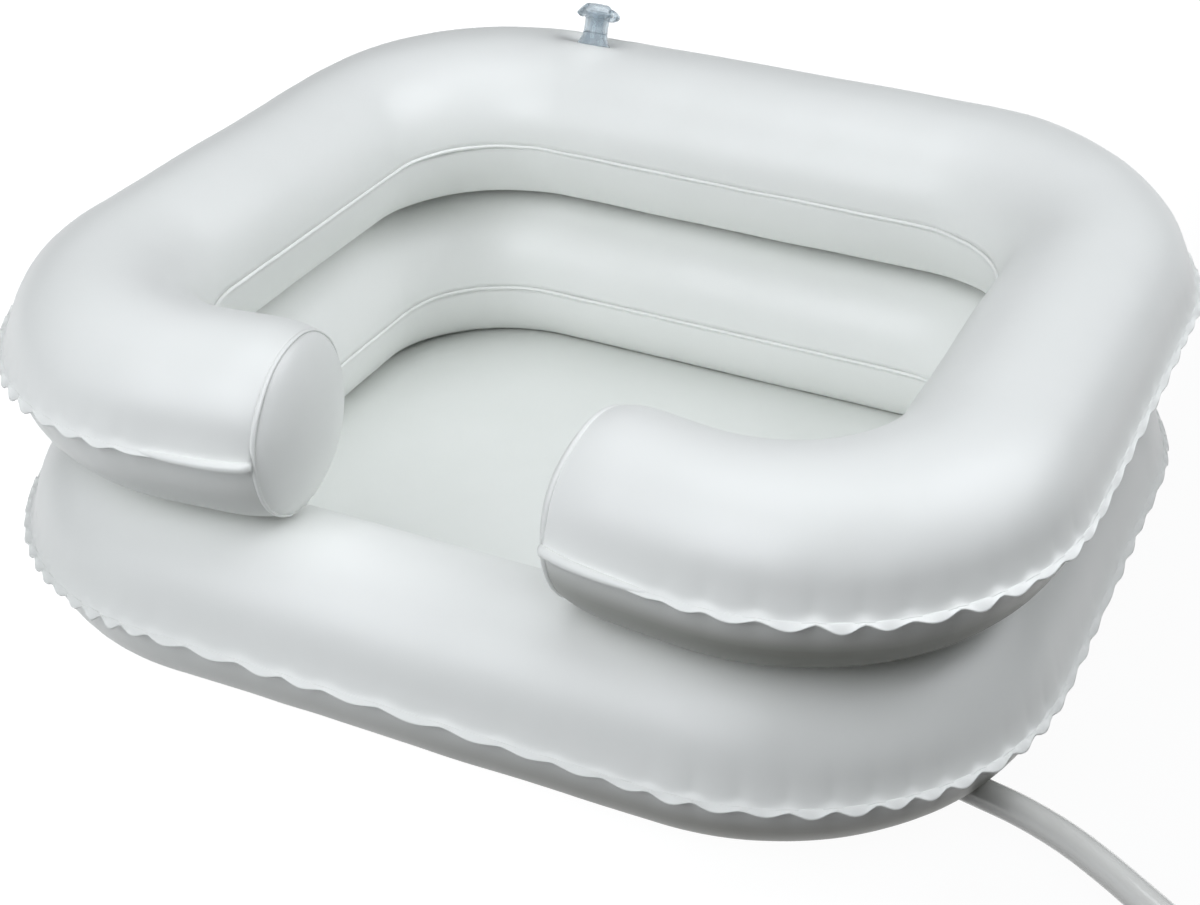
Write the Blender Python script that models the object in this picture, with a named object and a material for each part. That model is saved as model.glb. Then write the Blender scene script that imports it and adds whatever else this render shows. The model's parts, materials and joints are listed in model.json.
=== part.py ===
"""Portable shampoo basin: two stacked air rings with a neck gap, a film floor, air valves, drain and hose.

Metres, +Z up, +X to the right, the neck gap towards -Y. The table is the plane z = 0.
"""

import math

import bmesh
import bpy
from mathutils import Matrix, Vector

# Plan of both air rings, measured between the welded seams
SEAM_WIDTH = 0.592
SEAM_DEPTH = 0.532
TUBE_WIDTH = 0.102
OUTER_CORNER_RADIUS = 0.154
INNER_CORNER_RADIUS = 0.073
RING_HEIGHT = 0.1022

# Film, fits and the overrun of every cutter
FILM = 0.0008
CLEARANCE = 0.0003
OVERRUN = 0.004
MERGE_DISTANCE = 0.00002

# How finely the rings are faceted, and the angle from which an edge is shaded sharp
TUBE_FACETS = 9
CORNER_STEPS = 6
STRAIGHT_PITCH = 0.085
SHARP_ANGLE = math.radians(35)

# The two arms beside the neck: their straight stretch, and the domed ends drawn in at their weld
ARM_STRAIGHT = 0.043
CAP_NARROWING = 0.001
CAP_LOWERING = 0.0024
CAP_BULGE = 0.018
CAP_STEPS = 4
CAP_BEAD_GAP = 0.0005
CAP_BEAD_HEIGHT = 0.0014
CAP_BEAD_HALF_WIDTH = 0.0015

# Welded skirt outside each outer seam, and the round bead inside each inner seam
SKIRT_REACH = 0.009
SKIRT_END_REACH = 0.003
SKIRT_END_LENGTH = 0.045
SKIRT_THICKNESS = 0.0012
CORNER_WAVE = 0.027
STRAIGHT_WAVE = 0.045
CORNER_RUFFLE = 0.0024
STRAIGHT_RUFFLE = 0.0010
POINTS_PER_WAVE = 4
INNER_BEAD_RADIUS = 0.0008

# Floor film, lifted locally over the drain and the hose
FLOOR_HEIGHT = 0.005
PAD_FOOT_RADIUS = 0.048
PAD_TOP_RADIUS = 0.029

# Drain in the floor, set in from the front and the right inner seam
DRAIN_INSET_X = 0.0578
DRAIN_INSET_Y = 0.0382
DRAIN_BORE_RADIUS = 0.0118
DRAIN_WALL = 0.0022
DRAIN_FLANGE_RADIUS = 0.026
DRAIN_FLANGE_THICKNESS = 0.002
DRAIN_COLLAR_LENGTH = 0.010
DRAIN_COLLAR_WALL = 0.0025
DRAIN_SIDES = 32

# Stopper that plugs the drain
STOPPER_TAPER = 0.0008
STOPPER_DEPTH = 0.0085
STOPPER_HEAD_RADIUS = 0.0155
STOPPER_HEAD_THICKNESS = 0.0022
STOPPER_LOOP_HEIGHT = 0.0105
STOPPER_LOOP_HALF_WIDTH = 0.0065
STOPPER_LOOP_RADIUS = 0.0014

# Drain hose: one length, run out from under the basin and laid in a coil on the table; the route is
# measured from the drain
HOSE_RADIUS = 0.008
HOSE_LENGTH = 0.914
HOSE_ROUTE = (
    (0.0688, -0.0142),
    (0.1088, -0.0225),
    (0.1368, -0.0282),
    (0.1608, -0.0337),
    (0.1858, -0.0434),
    (0.2088, -0.0564),
    (0.2308, -0.0709),
    (0.2618, -0.0914),
    (0.2928, -0.1119),
)
ROUTE_POINTS_UNDER_BASIN = 5
COIL_RADIUS = 0.092
COIL_PITCH = 0.0205
COIL_STEPS_PER_TURN = 24

# Air valve, one on each ring, on the back of the tube beside the left corner
VALVE_TO_CORNER = 0.017
UPPER_VALVE_FACET = 3
LOWER_VALVE_FACET = 2
VALVE_FLANGE_RADIUS = 0.014
VALVE_FLANGE_RISE = 0.0006
VALVE_FLANGE_DEPTH = 0.0022
VALVE_BARREL_RADIUS = 0.011
VALVE_BARREL_RISE = 0.001
VALVE_CONE_HEIGHT = 0.0095
VALVE_CONE_STEPS = 4
VALVE_NECK_RADIUS = 0.0065
VALVE_NECK_HEIGHT = 0.020
VALVE_BORE_RADIUS = 0.0045
VALVE_LIP_REACH = 0.0015
VALVE_LIP_THICKNESS = 0.0015
VALVE_SIDES = 24
FLAP_OVERLAP = 0.0012
FLAP_THICKNESS = 0.0006
PLUG_PIN_LENGTH = 0.009
PLUG_PIN_LEAD = 0.0018
PLUG_HEAD_RADIUS = 0.0076
PLUG_HEAD_THICKNESS = 0.0042
PLUG_DOME_RISE = 0.0016
PLUG_TAB_REACH = 0.0135
PLUG_TAB_WIDTH = 0.0065
PLUG_TAB_THICKNESS = 0.0014
PLUG_TAB_DROOP = 0.002
PLUG_TAB_TIP_SHARE = 0.5
STRAP_REACH = 0.0132
STRAP_WIDTH = 0.004
STRAP_THICKNESS = 0.0011
STRAP_FOOT_HEIGHT = 0.0178
STRAP_STEPS = 8

FILM_WHITE = (0.77, 0.79, 0.80, 1.0)
FLOOR_WHITE = (0.70, 0.73, 0.73, 1.0)
CLEAR_VINYL = (0.55, 0.60, 0.66, 1.0)
HOSE_WHITE = (0.62, 0.63, 0.64, 1.0)
FITTING_WHITE = (0.72, 0.73, 0.73, 1.0)
FILM_ROUGHNESS = 0.34
FITTING_ROUGHNESS = 0.28

# Sizes that follow from the ones above
HALF_WIDTH = SEAM_WIDTH / 2
HALF_DEPTH = SEAM_DEPTH / 2
FACET_ANGLE = math.pi / TUBE_FACETS
SECTION_RISE = RING_HEIGHT / 2 / math.cos(FACET_ANGLE / 2)
LOWER_MID = RING_HEIGHT / 2
UPPER_MID = LOWER_MID + RING_HEIGHT + CLEARANCE
ARM_SEAM_X = HALF_WIDTH - TUBE_WIDTH - INNER_CORNER_RADIUS - ARM_STRAIGHT
CAP_HALF_WIDTH = TUBE_WIDTH / 2 - CAP_NARROWING
CAP_RISE = (RING_HEIGHT / 2 - CAP_LOWERING) / math.cos(FACET_ANGLE / 2)
DRAIN_X = HALF_WIDTH - TUBE_WIDTH - DRAIN_INSET_X
DRAIN_Y = DRAIN_INSET_Y + TUBE_WIDTH - HALF_DEPTH
VALVE_X = VALVE_TO_CORNER + OUTER_CORNER_RADIUS - HALF_WIDTH
HOSE_Z = HOSE_RADIUS + CLEARANCE
RIDGE_RADIUS = HOSE_RADIUS + CLEARANCE + FILM
PAD_TOP = HOSE_Z + RIDGE_RADIUS
CHANNEL_RADIUS = RIDGE_RADIUS + CLEARANCE
DRAIN_CUP_RADIUS = DRAIN_BORE_RADIUS + DRAIN_WALL


def clear_scene():
    for obj in list(bpy.data.objects):
        bpy.data.objects.remove(obj, do_unlink=True)


def finish(obj, color, roughness):
    """Give the object a material of its own and smooth shading."""
    material = bpy.data.materials.new(obj.name + "_finish")
    material.use_nodes = True
    shader = material.node_tree.nodes["Principled BSDF"]
    shader.inputs["Base Color"].default_value = color
    shader.inputs["Roughness"].default_value = roughness
    obj.data.materials.append(material)
    if obj.type == "MESH":
        obj.data.shade_smooth()
        obj.data.set_sharp_from_angle(angle=SHARP_ANGLE)
    return obj


def add_object(name, data):
    obj = bpy.data.objects.new(name, data)
    bpy.context.scene.collection.objects.link(obj)
    return obj


def mesh_object(name, bm):
    data = bpy.data.meshes.new(name)
    bm.to_mesh(data)
    bm.free()
    return add_object(name, data)


def as_cutter(obj):
    obj.hide_render = True
    obj.display_type = "WIRE"
    return obj


def boolean(obj, other, operation):
    modifier = obj.modifiers.new(operation.title(), "BOOLEAN")
    modifier.operation = operation
    modifier.solver = "EXACT"
    modifier.object = other


def solidify(obj, thickness, offset):
    modifier = obj.modifiers.new("Thickness", "SOLIDIFY")
    modifier.thickness = thickness
    modifier.offset = offset
    modifier.use_even_offset = True


def mapped_grid(name, along, across, place, fill=False, reverse=False):
    """Faces whose corner (i, j) lies at place(i, j); corners that meet are merged."""
    bm = bmesh.new()
    bmesh.ops.create_grid(bm, x_segments=along, y_segments=across, size=1)
    for vert in bm.verts:
        column = round((vert.co.x + 1) / 2 * along)
        row = round((vert.co.y + 1) / 2 * across)
        vert.co = place(column, row)
    bmesh.ops.remove_doubles(bm, verts=bm.verts, dist=MERGE_DISTANCE)
    if fill:
        open_edges = [edge for edge in bm.edges if edge.is_boundary]
        bmesh.ops.holes_fill(bm, edges=open_edges, sides=0)
    if reverse:
        bmesh.ops.reverse_faces(bm, faces=bm.faces)
    if not any(edge.is_boundary for edge in bm.edges):
        bmesh.ops.recalc_face_normals(bm, faces=bm.faces)
    return mesh_object(name, bm)


def turned(name, profile, sides):
    """A closed profile of (radius, height) points turned about Z; points on the axis become poles."""
    bm = bmesh.new()
    verts = [bm.verts.new((radius, 0, height)) for radius, height in profile]
    edges = [bm.edges.new((verts[i - 1], verts[i])) for i in range(len(verts))]
    edges = [edge for edge in edges if edge.verts[0].co.x + edge.verts[1].co.x > MERGE_DISTANCE]
    bmesh.ops.spin(
        bm, geom=verts + edges, cent=(0, 0, 0), axis=(0, 0, 1),
        angle=math.tau, steps=sides, use_merge=True, use_duplicate=False,
    )
    bmesh.ops.remove_doubles(bm, verts=bm.verts, dist=MERGE_DISTANCE)
    loose = [edge for edge in bm.edges if not edge.link_faces]
    bmesh.ops.delete(bm, geom=loose, context="EDGES")
    bmesh.ops.recalc_face_normals(bm, faces=bm.faces)
    return mesh_object(name, bm)


def upright_cylinder(name, radius, low, high, sides):
    return turned(name, ((0, low), (radius, low), (radius, high), (0, high)), sides)


def poly_curve(name, points, radius, resolution, cyclic=False):
    data = bpy.data.curves.new(name, "CURVE")
    data.dimensions = "3D"
    data.bevel_depth = radius
    data.bevel_resolution = resolution
    data.use_fill_caps = not cyclic
    spline = data.splines.new("POLY")
    spline.points.add(len(points) - 1)
    for target, point in zip(spline.points, points):
        target.co = (*point, 1)
    spline.use_cyclic_u = cyclic
    return add_object(name, data)


def straight_steps(pitch, start, multiple=1):
    """Steps on the half front, right, back, left and half front straights of the outer seam."""
    front = HALF_WIDTH - OUTER_CORNER_RADIUS - start
    side = SEAM_DEPTH - OUTER_CORNER_RADIUS * 2
    back = SEAM_WIDTH - OUTER_CORNER_RADIUS * 2
    lengths = (front, side, back, side, front)
    return [multiple * max(1, round(length / pitch)) for length in lengths]


def rounded_path(half_width, half_depth, radius, start, corner_steps, straights):
    """Points round a rounded rectangle, from x = start on the front straight to x = -start."""
    across = half_width - radius
    along = half_depth - radius
    centres = ((across, -along), (across, along), (-across, along), (-across, -along))
    points = [Vector((start, -half_depth, 0))]
    for index, (x, y) in enumerate(centres):
        arc = []
        for step in range(corner_steps + 1):
            angle = math.pi / 2 * (index - 1 + step / corner_steps)
            arc.append(Vector((x, y, 0)) + Vector((math.cos(angle), math.sin(angle), 0)) * radius)
        last = points[-1]
        points += [last.lerp(arc[0], step / straights[index]) for step in range(1, straights[index])]
        points += arc
    last = points[-1]
    end = Vector((-start, -half_depth, 0))
    points += [last.lerp(end, step / straights[-1]) for step in range(1, straights[-1] + 1)]
    return points


def seam_pairs(start):
    """Matching points on the outer and the inner seam, all round the ring."""
    straights = straight_steps(STRAIGHT_PITCH, start)
    outer = rounded_path(HALF_WIDTH, HALF_DEPTH, OUTER_CORNER_RADIUS, start, CORNER_STEPS, straights)
    inner = rounded_path(
        HALF_WIDTH - TUBE_WIDTH, HALF_DEPTH - TUBE_WIDTH, INNER_CORNER_RADIUS, start, CORNER_STEPS, straights
    )
    return list(zip(outer, inner))


def section_point(outer, inner, angle, mid, inset=0.0, width=None, rise=SECTION_RISE):
    """A point on the tube's section: angle 0 at the outer seam, half a turn at the inner one."""
    centre = (outer + inner) / 2
    reach = (outer - inner) / 2
    half = reach.length if width is None else width
    point = centre + reach.normalized() * (half - inset) * math.cos(angle)
    point.z = mid + (rise - inset) * math.sin(angle)
    return point


def film_half(name, start, mid, side):
    """Top (side = 1) or bottom (side = -1) film of a ring, welded to the other at both seams."""
    pairs = seam_pairs(start)
    last = len(pairs) - 1

    def place(column, row):
        angle = FACET_ANGLE * (row if side > 0 else TUBE_FACETS - row)
        outer, inner = pairs[column]
        at_arm_end = start > 0 and column in (0, last)
        width = CAP_HALF_WIDTH if at_arm_end else None
        rise = CAP_RISE if at_arm_end else SECTION_RISE
        point = section_point(outer, inner, side * angle, mid, 0.0, width, rise)
        point.z += side * CLEARANCE * math.cos(angle) ** 2
        return point

    film = mapped_grid(name, last, TUBE_FACETS, place)
    solidify(film, FILM, -1)
    return finish(film, FILM_WHITE, FILM_ROUGHNESS)


def half_tube_form(name, inset, seam_z):
    """Solid form of the lower ring's underside, up to the level seam_z."""
    pairs = seam_pairs(0.0)
    corners = TUBE_FACETS + 3

    def place(column, row):
        outer, inner = pairs[column]
        row = row % corners
        if row <= TUBE_FACETS:
            point = section_point(outer, inner, -FACET_ANGLE * row, LOWER_MID, inset)
            point.z = min(point.z, LOWER_MID - CLEARANCE)
            return point
        angle = math.pi if row == TUBE_FACETS + 1 else 0
        point = section_point(outer, inner, angle, LOWER_MID, inset)
        point.z = seam_z
        return point

    return mapped_grid(name, len(pairs) - 1, corners, place)


def arch(name, path, radius, foot):
    """A round-topped tunnel along the hose, with upright walls down to the level foot."""
    steps = 8
    corners = steps + 3

    def place(column, row):
        point = path[column]
        ahead = path[min(column + 1, len(path) - 1)] - path[max(column - 1, 0)]
        sideways = Vector((-ahead.y, ahead.x, 0)).normalized()
        row = row % corners
        if row <= steps:
            angle = math.pi * row / steps
            height = HOSE_Z + radius * math.sin(angle)
            return Vector((point.x, point.y, height)) + sideways * radius * math.cos(angle)
        side = -radius if row == steps + 1 else radius
        return Vector((point.x, point.y, foot)) + sideways * side

    return mapped_grid(name, len(path) - 1, corners, place, fill=True)


def skirt(name, start, mid):
    """Ruffled edge of doubled film outside the outer seam, narrower near the arm ends."""
    corner_waves = round(OUTER_CORNER_RADIUS * math.pi / 2 / CORNER_WAVE)
    straights = straight_steps(STRAIGHT_WAVE, start, POINTS_PER_WAVE)
    corner_steps = corner_waves * POINTS_PER_WAVE

    def edge(offset):
        radius = OUTER_CORNER_RADIUS + offset
        return rounded_path(HALF_WIDTH + offset, HALF_DEPTH + offset, radius, start, corner_steps, straights)

    near, far = edge(CLEARANCE), edge(SKIRT_REACH)
    last = len(near) - 1
    ends = (far[0], far[last])

    def place(column, row):
        if row == 1:
            return near[column] + Vector((0, 0, mid))
        point = far[column]
        past_side = abs(point.x) > HALF_WIDTH - OUTER_CORNER_RADIUS
        past_end = abs(point.y) > HALF_DEPTH - OUTER_CORNER_RADIUS
        ruffle = CORNER_RUFFLE if past_side and past_end else STRAIGHT_RUFFLE
        share = 1.0
        if start > 0:
            from_end = min((point - end).length for end in ends)
            share = min(1.0, SKIRT_END_REACH / SKIRT_REACH + from_end / SKIRT_END_LENGTH)
        lift = ruffle * share * math.sin(math.tau * column / POINTS_PER_WAVE)
        return near[column].lerp(point, share) + Vector((0, 0, mid + lift))

    border = mapped_grid(name, last, 1, place)
    solidify(border, SKIRT_THICKNESS, 0)
    return finish(border, FILM_WHITE, FILM_ROUGHNESS)


def inner_bead(name, start, mid):
    """Round bead of the inner weld, on the bowl's side of the seam."""
    offset = INNER_BEAD_RADIUS + CLEARANCE
    points = rounded_path(
        HALF_WIDTH - TUBE_WIDTH - offset, HALF_DEPTH - TUBE_WIDTH - offset, INNER_CORNER_RADIUS - offset,
        start, CORNER_STEPS, straight_steps(STRAIGHT_PITCH, start),
    )
    closed = start == 0
    if closed:
        points = points[:-1]
    raised = [point + Vector((0, 0, mid)) for point in points]
    return finish(poly_curve(name, raised, INNER_BEAD_RADIUS, 1, closed), FILM_WHITE, FILM_ROUGHNESS)


def arm_section(x, angle, grow=0.0, scale=1.0):
    """A point on the section of an arm's end at the plane x."""
    centre_y = TUBE_WIDTH / 2 - HALF_DEPTH
    y = centre_y + (CAP_HALF_WIDTH + grow) * scale * math.cos(angle)
    return Vector((x, y, UPPER_MID + (CAP_RISE + grow) * scale * math.sin(angle)))


def arm_end_cap(name, side):
    """Domed film that closes an arm of the upper ring beside the neck."""
    rim = ARM_SEAM_X - CLEARANCE

    def place(column, row):
        if row == 0:
            return arm_section(side * rim, FACET_ANGLE * column)
        latitude = math.pi / 2 * (row - 1) / CAP_STEPS
        x = side * (rim - FILM - (CAP_BULGE - FILM) * math.sin(latitude))
        return arm_section(x, FACET_ANGLE * column, scale=math.cos(latitude))

    cap = mapped_grid(name, TUBE_FACETS * 2, CAP_STEPS + 1, place, reverse=side > 0)
    solidify(cap, FILM, -1)
    return finish(cap, FILM_WHITE, FILM_ROUGHNESS)


def arm_cap_bead(name, side):
    """Raised weld that rings the arm where its end cap joins."""
    half, low = CAP_BEAD_HALF_WIDTH, CAP_BEAD_GAP
    high = low + CAP_BEAD_HEIGHT
    corners = ((-half, low), (half, low), (half, high), (-half, high))

    def place(column, row):
        shift, grow = corners[row % len(corners)]
        return arm_section(side * (ARM_SEAM_X + shift), FACET_ANGLE * column, grow)

    return finish(mapped_grid(name, TUBE_FACETS * 2, len(corners), place), FILM_WHITE, FILM_ROUGHNESS)


def smooth_route(knots, spacing):
    """Points about one spacing apart on a smooth curve through the knots."""
    points = [knots[0]]
    padded = [knots[0] * 2 - knots[1]] + knots + [knots[-1] * 2 - knots[-2]]
    for index in range(1, len(padded) - 2):
        before, first, second, after = padded[index - 1:index + 3]
        steps = max(1, round((second - first).length / spacing))
        for step in range(1, steps + 1):
            t = step / steps
            points.append(0.5 * (
                first * 2 + (second - before) * t
                + (before * 2 - first * 5 + second * 4 - after) * t * t
                + (first * 3 - before - second * 3 + after) * t * t * t
            ))
    return points


def drain_heading():
    """Level direction in which the drain's spigot points."""
    return Vector((*HOSE_ROUTE[0], 0)).normalized()


def hose_points():
    drain = Vector((DRAIN_X, DRAIN_Y, HOSE_Z))
    start = drain + drain_heading() * (DRAIN_CUP_RADIUS + DRAIN_COLLAR_LENGTH + CLEARANCE)
    knots = [start] + [drain + Vector((*point, 0)) for point in HOSE_ROUTE]
    return smooth_route(knots, HOSE_RADIUS * 4)


def path_length(points):
    return sum((b - a).length for a, b in zip(points, points[1:]))


def coil_points(start, heading, length):
    """Flat spiral that turns right from the end of the run, with straight ends one diameter long."""
    straight = HOSE_RADIUS * 2
    begin = start + heading * straight
    right = Vector((heading.y, -heading.x, 0))
    centre = begin + right * COIL_RADIUS
    wound = length - straight * 2
    turns = (COIL_RADIUS - math.sqrt(COIL_RADIUS ** 2 - 2 * COIL_PITCH * wound / math.tau)) / COIL_PITCH
    steps = math.ceil(turns * COIL_STEPS_PER_TURN)
    points = [start, begin]
    for step in range(1, steps + 1):
        turn = turns * step / steps
        spoke = Matrix.Rotation(-math.tau * turn, 4, "Z") @ -right
        points.append(centre + spoke * (COIL_RADIUS - COIL_PITCH * turn))
    points.append(points[-1] + (points[-1] - points[-2]).normalized() * straight)
    return points


def report_coil_gap(points):
    """Print the least gap between turns, from points more than half a turn apart."""
    apart = COIL_STEPS_PER_TURN // 2
    least = math.inf
    for index, point in enumerate(points):
        for a, b in zip(points[index + apart:], points[index + apart + 1:]):
            span = b - a
            share = min(1.0, max(0.0, (point - a).dot(span) / span.length_squared))
            least = min(least, (point - a - span * share).length)
    print(f"drain hose coil: least gap between turns {(least - HOSE_RADIUS * 2) * 1000:.2f} mm")


def make_hose():
    run = hose_points()
    heading = (run[-1] - run[-2]).normalized()
    coil = coil_points(run[-1] + heading * CLEARANCE, heading, HOSE_LENGTH - path_length(run))
    report_coil_gap(coil)
    finish(poly_curve("drain_hose_run", run, HOSE_RADIUS, 3), HOSE_WHITE, FITTING_ROUGHNESS)
    finish(poly_curve("drain_hose_coil", coil, HOSE_RADIUS, 1), HOSE_WHITE, FITTING_ROUGHNESS)
    return run


def make_lower_bottom_film(run):
    """Underside film of the lower ring, dented where the hose passes beneath it."""
    path = run[:ROUTE_POINTS_UNDER_BASIN]
    heading = (path[-1] - path[-2]).normalized()
    path.append(path[-1] + heading * TUBE_WIDTH / 2)
    film = half_tube_form("lower_ring_bottom_sheet", 0.0, LOWER_MID - CLEARANCE / 2)
    hollow = as_cutter(half_tube_form("lower_ring_hollow", FILM, LOWER_MID + OVERRUN))
    dent = as_cutter(arch("hose_channel", path, CHANNEL_RADIUS, -OVERRUN))
    dent_wall = as_cutter(arch("hose_channel_wall", path, CHANNEL_RADIUS + FILM, -OVERRUN * 2))
    boolean(hollow, dent_wall, "DIFFERENCE")
    boolean(film, dent, "DIFFERENCE")
    boolean(film, hollow, "DIFFERENCE")
    return finish(film, FILM_WHITE, FILM_ROUGHNESS)


def floor_outline():
    """Edge of the floor film, clear of the facet of the lower ring that it meets."""
    first = math.sin(FACET_ANGLE / 2)
    second = math.sin(FACET_ANGLE * 1.5)
    facet_rise = SECTION_RISE * (math.cos(FACET_ANGLE / 2) - math.cos(FACET_ANGLE * 1.5))
    climb = (FLOOR_HEIGHT + FILM) / facet_rise
    reach = first + (second - first) * climb + CLEARANCE / math.sin(FACET_ANGLE) / (TUBE_WIDTH / 2)
    share = (1 - reach) / 2
    return [inner.lerp(outer, share) for outer, inner in seam_pairs(0.0)[:-1]]


def make_floor(run):
    """Floor film with a raised pad round the drain and a ridge over the hose."""
    bm = bmesh.new()
    verts = [bm.verts.new((point.x, point.y, FLOOR_HEIGHT)) for point in floor_outline()]
    face = bm.faces.new(verts)
    lifted = bmesh.ops.extrude_face_region(bm, geom=[face])
    top = [item for item in lifted["geom"] if isinstance(item, bmesh.types.BMVert)]
    bmesh.ops.translate(bm, verts=top, vec=(0, 0, FILM))
    bmesh.ops.recalc_face_normals(bm, faces=bm.faces)
    floor = mesh_object("floor_sheet", bm)

    def pad(name, shrink, low, high):
        slope = (PAD_FOOT_RADIUS - PAD_TOP_RADIUS) / (PAD_TOP - FLOOR_HEIGHT)
        foot = PAD_TOP_RADIUS - shrink + slope * (high - low)
        profile = ((0, low), (foot, low), (PAD_TOP_RADIUS - shrink, high), (0, high))
        obj = turned(name, profile, DRAIN_SIDES)
        obj.location = (DRAIN_X, DRAIN_Y, 0)
        return as_cutter(obj)

    drain = Vector((DRAIN_X, DRAIN_Y, HOSE_Z))
    ridge_path = [drain, run[0], run[1]]
    tunnel_path = ridge_path + [run[2]]
    boolean(floor, pad("drain_pad", 0.0, FLOOR_HEIGHT, PAD_TOP), "UNION")
    boolean(floor, as_cutter(arch("hose_ridge", ridge_path, RIDGE_RADIUS, FLOOR_HEIGHT)), "UNION")
    boolean(floor, pad("drain_pad_hollow", FILM * 2, -OVERRUN, PAD_TOP - FILM), "DIFFERENCE")
    tunnel = as_cutter(arch("hose_ridge_hollow", tunnel_path, RIDGE_RADIUS - FILM, -OVERRUN * 2))
    boolean(floor, tunnel, "DIFFERENCE")
    throat = upright_cylinder(
        "drain_hole", DRAIN_CUP_RADIUS + CLEARANCE, -OVERRUN, PAD_TOP + OVERRUN, DRAIN_SIDES
    )
    throat.location = (DRAIN_X, DRAIN_Y, 0)
    boolean(floor, as_cutter(throat), "DIFFERENCE")
    return finish(floor, FLOOR_WHITE, FILM_ROUGHNESS)


def make_drain():
    """Drain fitting: a flange welded on the pad, a cup below it and a level spigot for the hose."""
    flange_low = PAD_TOP + CLEARANCE
    flange_high = flange_low + DRAIN_FLANGE_THICKNESS
    chamfer = DRAIN_FLANGE_THICKNESS / 2
    low = CLEARANCE
    profile = (
        (0, low), (DRAIN_CUP_RADIUS, low), (DRAIN_CUP_RADIUS, flange_low), (DRAIN_FLANGE_RADIUS, flange_low),
        (DRAIN_FLANGE_RADIUS, flange_high - chamfer), (DRAIN_FLANGE_RADIUS - chamfer, flange_high),
        (DRAIN_BORE_RADIUS, flange_high), (DRAIN_BORE_RADIUS, low + DRAIN_WALL), (0, low + DRAIN_WALL),
    )
    body = turned("drain_body", profile, DRAIN_SIDES)
    body.location = (DRAIN_X, DRAIN_Y, 0)
    heading = drain_heading()
    yaw = math.atan2(heading.y, heading.x)
    collar_end = DRAIN_CUP_RADIUS + DRAIN_COLLAR_LENGTH

    def level_rod(name, radius, near, far):
        rod = upright_cylinder(name, radius, near, far, DRAIN_SIDES // 2)
        rod.parent = body
        rod.location = (0, 0, HOSE_Z)
        rod.rotation_euler = (0, math.pi / 2, yaw)
        return as_cutter(rod)

    collar = level_rod("drain_collar", HOSE_RADIUS, DRAIN_BORE_RADIUS + CLEARANCE, collar_end)
    bore = level_rod(
        "drain_collar_bore", HOSE_RADIUS - DRAIN_COLLAR_WALL, DRAIN_BORE_RADIUS / 2, collar_end + OVERRUN
    )
    boolean(body, collar, "UNION")
    boolean(body, bore, "DIFFERENCE")
    return finish(body, FITTING_WHITE, FITTING_ROUGHNESS)


def make_stopper():
    """Stopper: a tapered plug under a flat head, with a pull loop."""
    seat = PAD_TOP + CLEARANCE * 2 + DRAIN_FLANGE_THICKNESS
    head_top = seat + STOPPER_HEAD_THICKNESS
    neck = DRAIN_BORE_RADIUS - CLEARANCE
    chamfer = STOPPER_HEAD_THICKNESS / 2
    profile = (
        (0, seat - STOPPER_DEPTH), (neck - STOPPER_TAPER, seat - STOPPER_DEPTH), (neck, seat),
        (STOPPER_HEAD_RADIUS, seat), (STOPPER_HEAD_RADIUS, head_top - chamfer),
        (STOPPER_HEAD_RADIUS - chamfer, head_top), (0, head_top),
    )
    stopper = turned("drain_stopper", profile, DRAIN_SIDES)
    stopper.location = (DRAIN_X, DRAIN_Y, 0)
    steps = 8
    leg = STOPPER_LOOP_HEIGHT - STOPPER_LOOP_HALF_WIDTH - STOPPER_LOOP_RADIUS
    points = [Vector((STOPPER_LOOP_HALF_WIDTH, 0, head_top - chamfer))]
    for step in range(steps + 1):
        angle = math.pi * step / steps
        points.append(Vector((
            STOPPER_LOOP_HALF_WIDTH * math.cos(angle), 0,
            head_top + leg + STOPPER_LOOP_HALF_WIDTH * math.sin(angle),
        )))
    points.append(Vector((-STOPPER_LOOP_HALF_WIDTH, 0, head_top - chamfer)))
    corners = 8

    def place(column, row):
        ahead = points[min(column + 1, len(points) - 1)] - points[max(column - 1, 0)]
        outward = Vector((ahead.z, 0, -ahead.x)).normalized()
        angle = math.tau * (row % corners) / corners
        ring = outward * math.cos(angle) + Vector((0, 1, 0)) * math.sin(angle)
        return points[column] + ring * STOPPER_LOOP_RADIUS

    loop = as_cutter(mapped_grid("stopper_loop", len(points) - 1, corners, place, fill=True))
    loop.parent = stopper
    boolean(stopper, loop, "UNION")
    return finish(stopper, FITTING_WHITE, FITTING_ROUGHNESS)


def valve_frame(name, mid, facet):
    """An empty on the outer face of a tube facet at the back, its Z axis along the facet's normal."""
    outer = Vector((VALVE_X, HALF_DEPTH, 0))
    inner = Vector((VALVE_X, HALF_DEPTH - TUBE_WIDTH, 0))
    first = section_point(outer, inner, FACET_ANGLE * facet, mid)
    second = section_point(outer, inner, FACET_ANGLE * (facet + 1), mid)
    span = second - first
    frame = add_object(name, None)
    frame.location = (first + second) / 2
    frame.location.z += CLEARANCE
    frame.rotation_euler = (-math.atan2(span.z, -span.y), 0, 0)
    return frame


def valve_hole(name, frame):
    radius = VALVE_FLANGE_RADIUS + CLEARANCE
    depth = VALVE_FLANGE_RADIUS
    hole = as_cutter(upright_cylinder(name, radius, -depth, depth, VALVE_SIDES))
    hole.parent = frame
    return hole


def make_valve_flange(prefix, frame):
    bore = VALVE_BARREL_RADIUS + CLEARANCE
    chamfer = VALVE_FLANGE_RISE
    outer = VALVE_FLANGE_RADIUS
    profile = (
        (bore, -VALVE_FLANGE_DEPTH), (outer, -VALVE_FLANGE_DEPTH), (outer, VALVE_FLANGE_RISE - chamfer),
        (outer - chamfer, VALVE_FLANGE_RISE), (bore, VALVE_FLANGE_RISE),
    )
    flange = turned(prefix + "_valve_flange", profile, VALVE_SIDES)
    flange.parent = frame
    return finish(flange, CLEAR_VINYL, FITTING_ROUGHNESS)


def stem_bottom():
    return -VALVE_FLANGE_DEPTH - CLEARANCE - VALVE_LIP_THICKNESS


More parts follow.
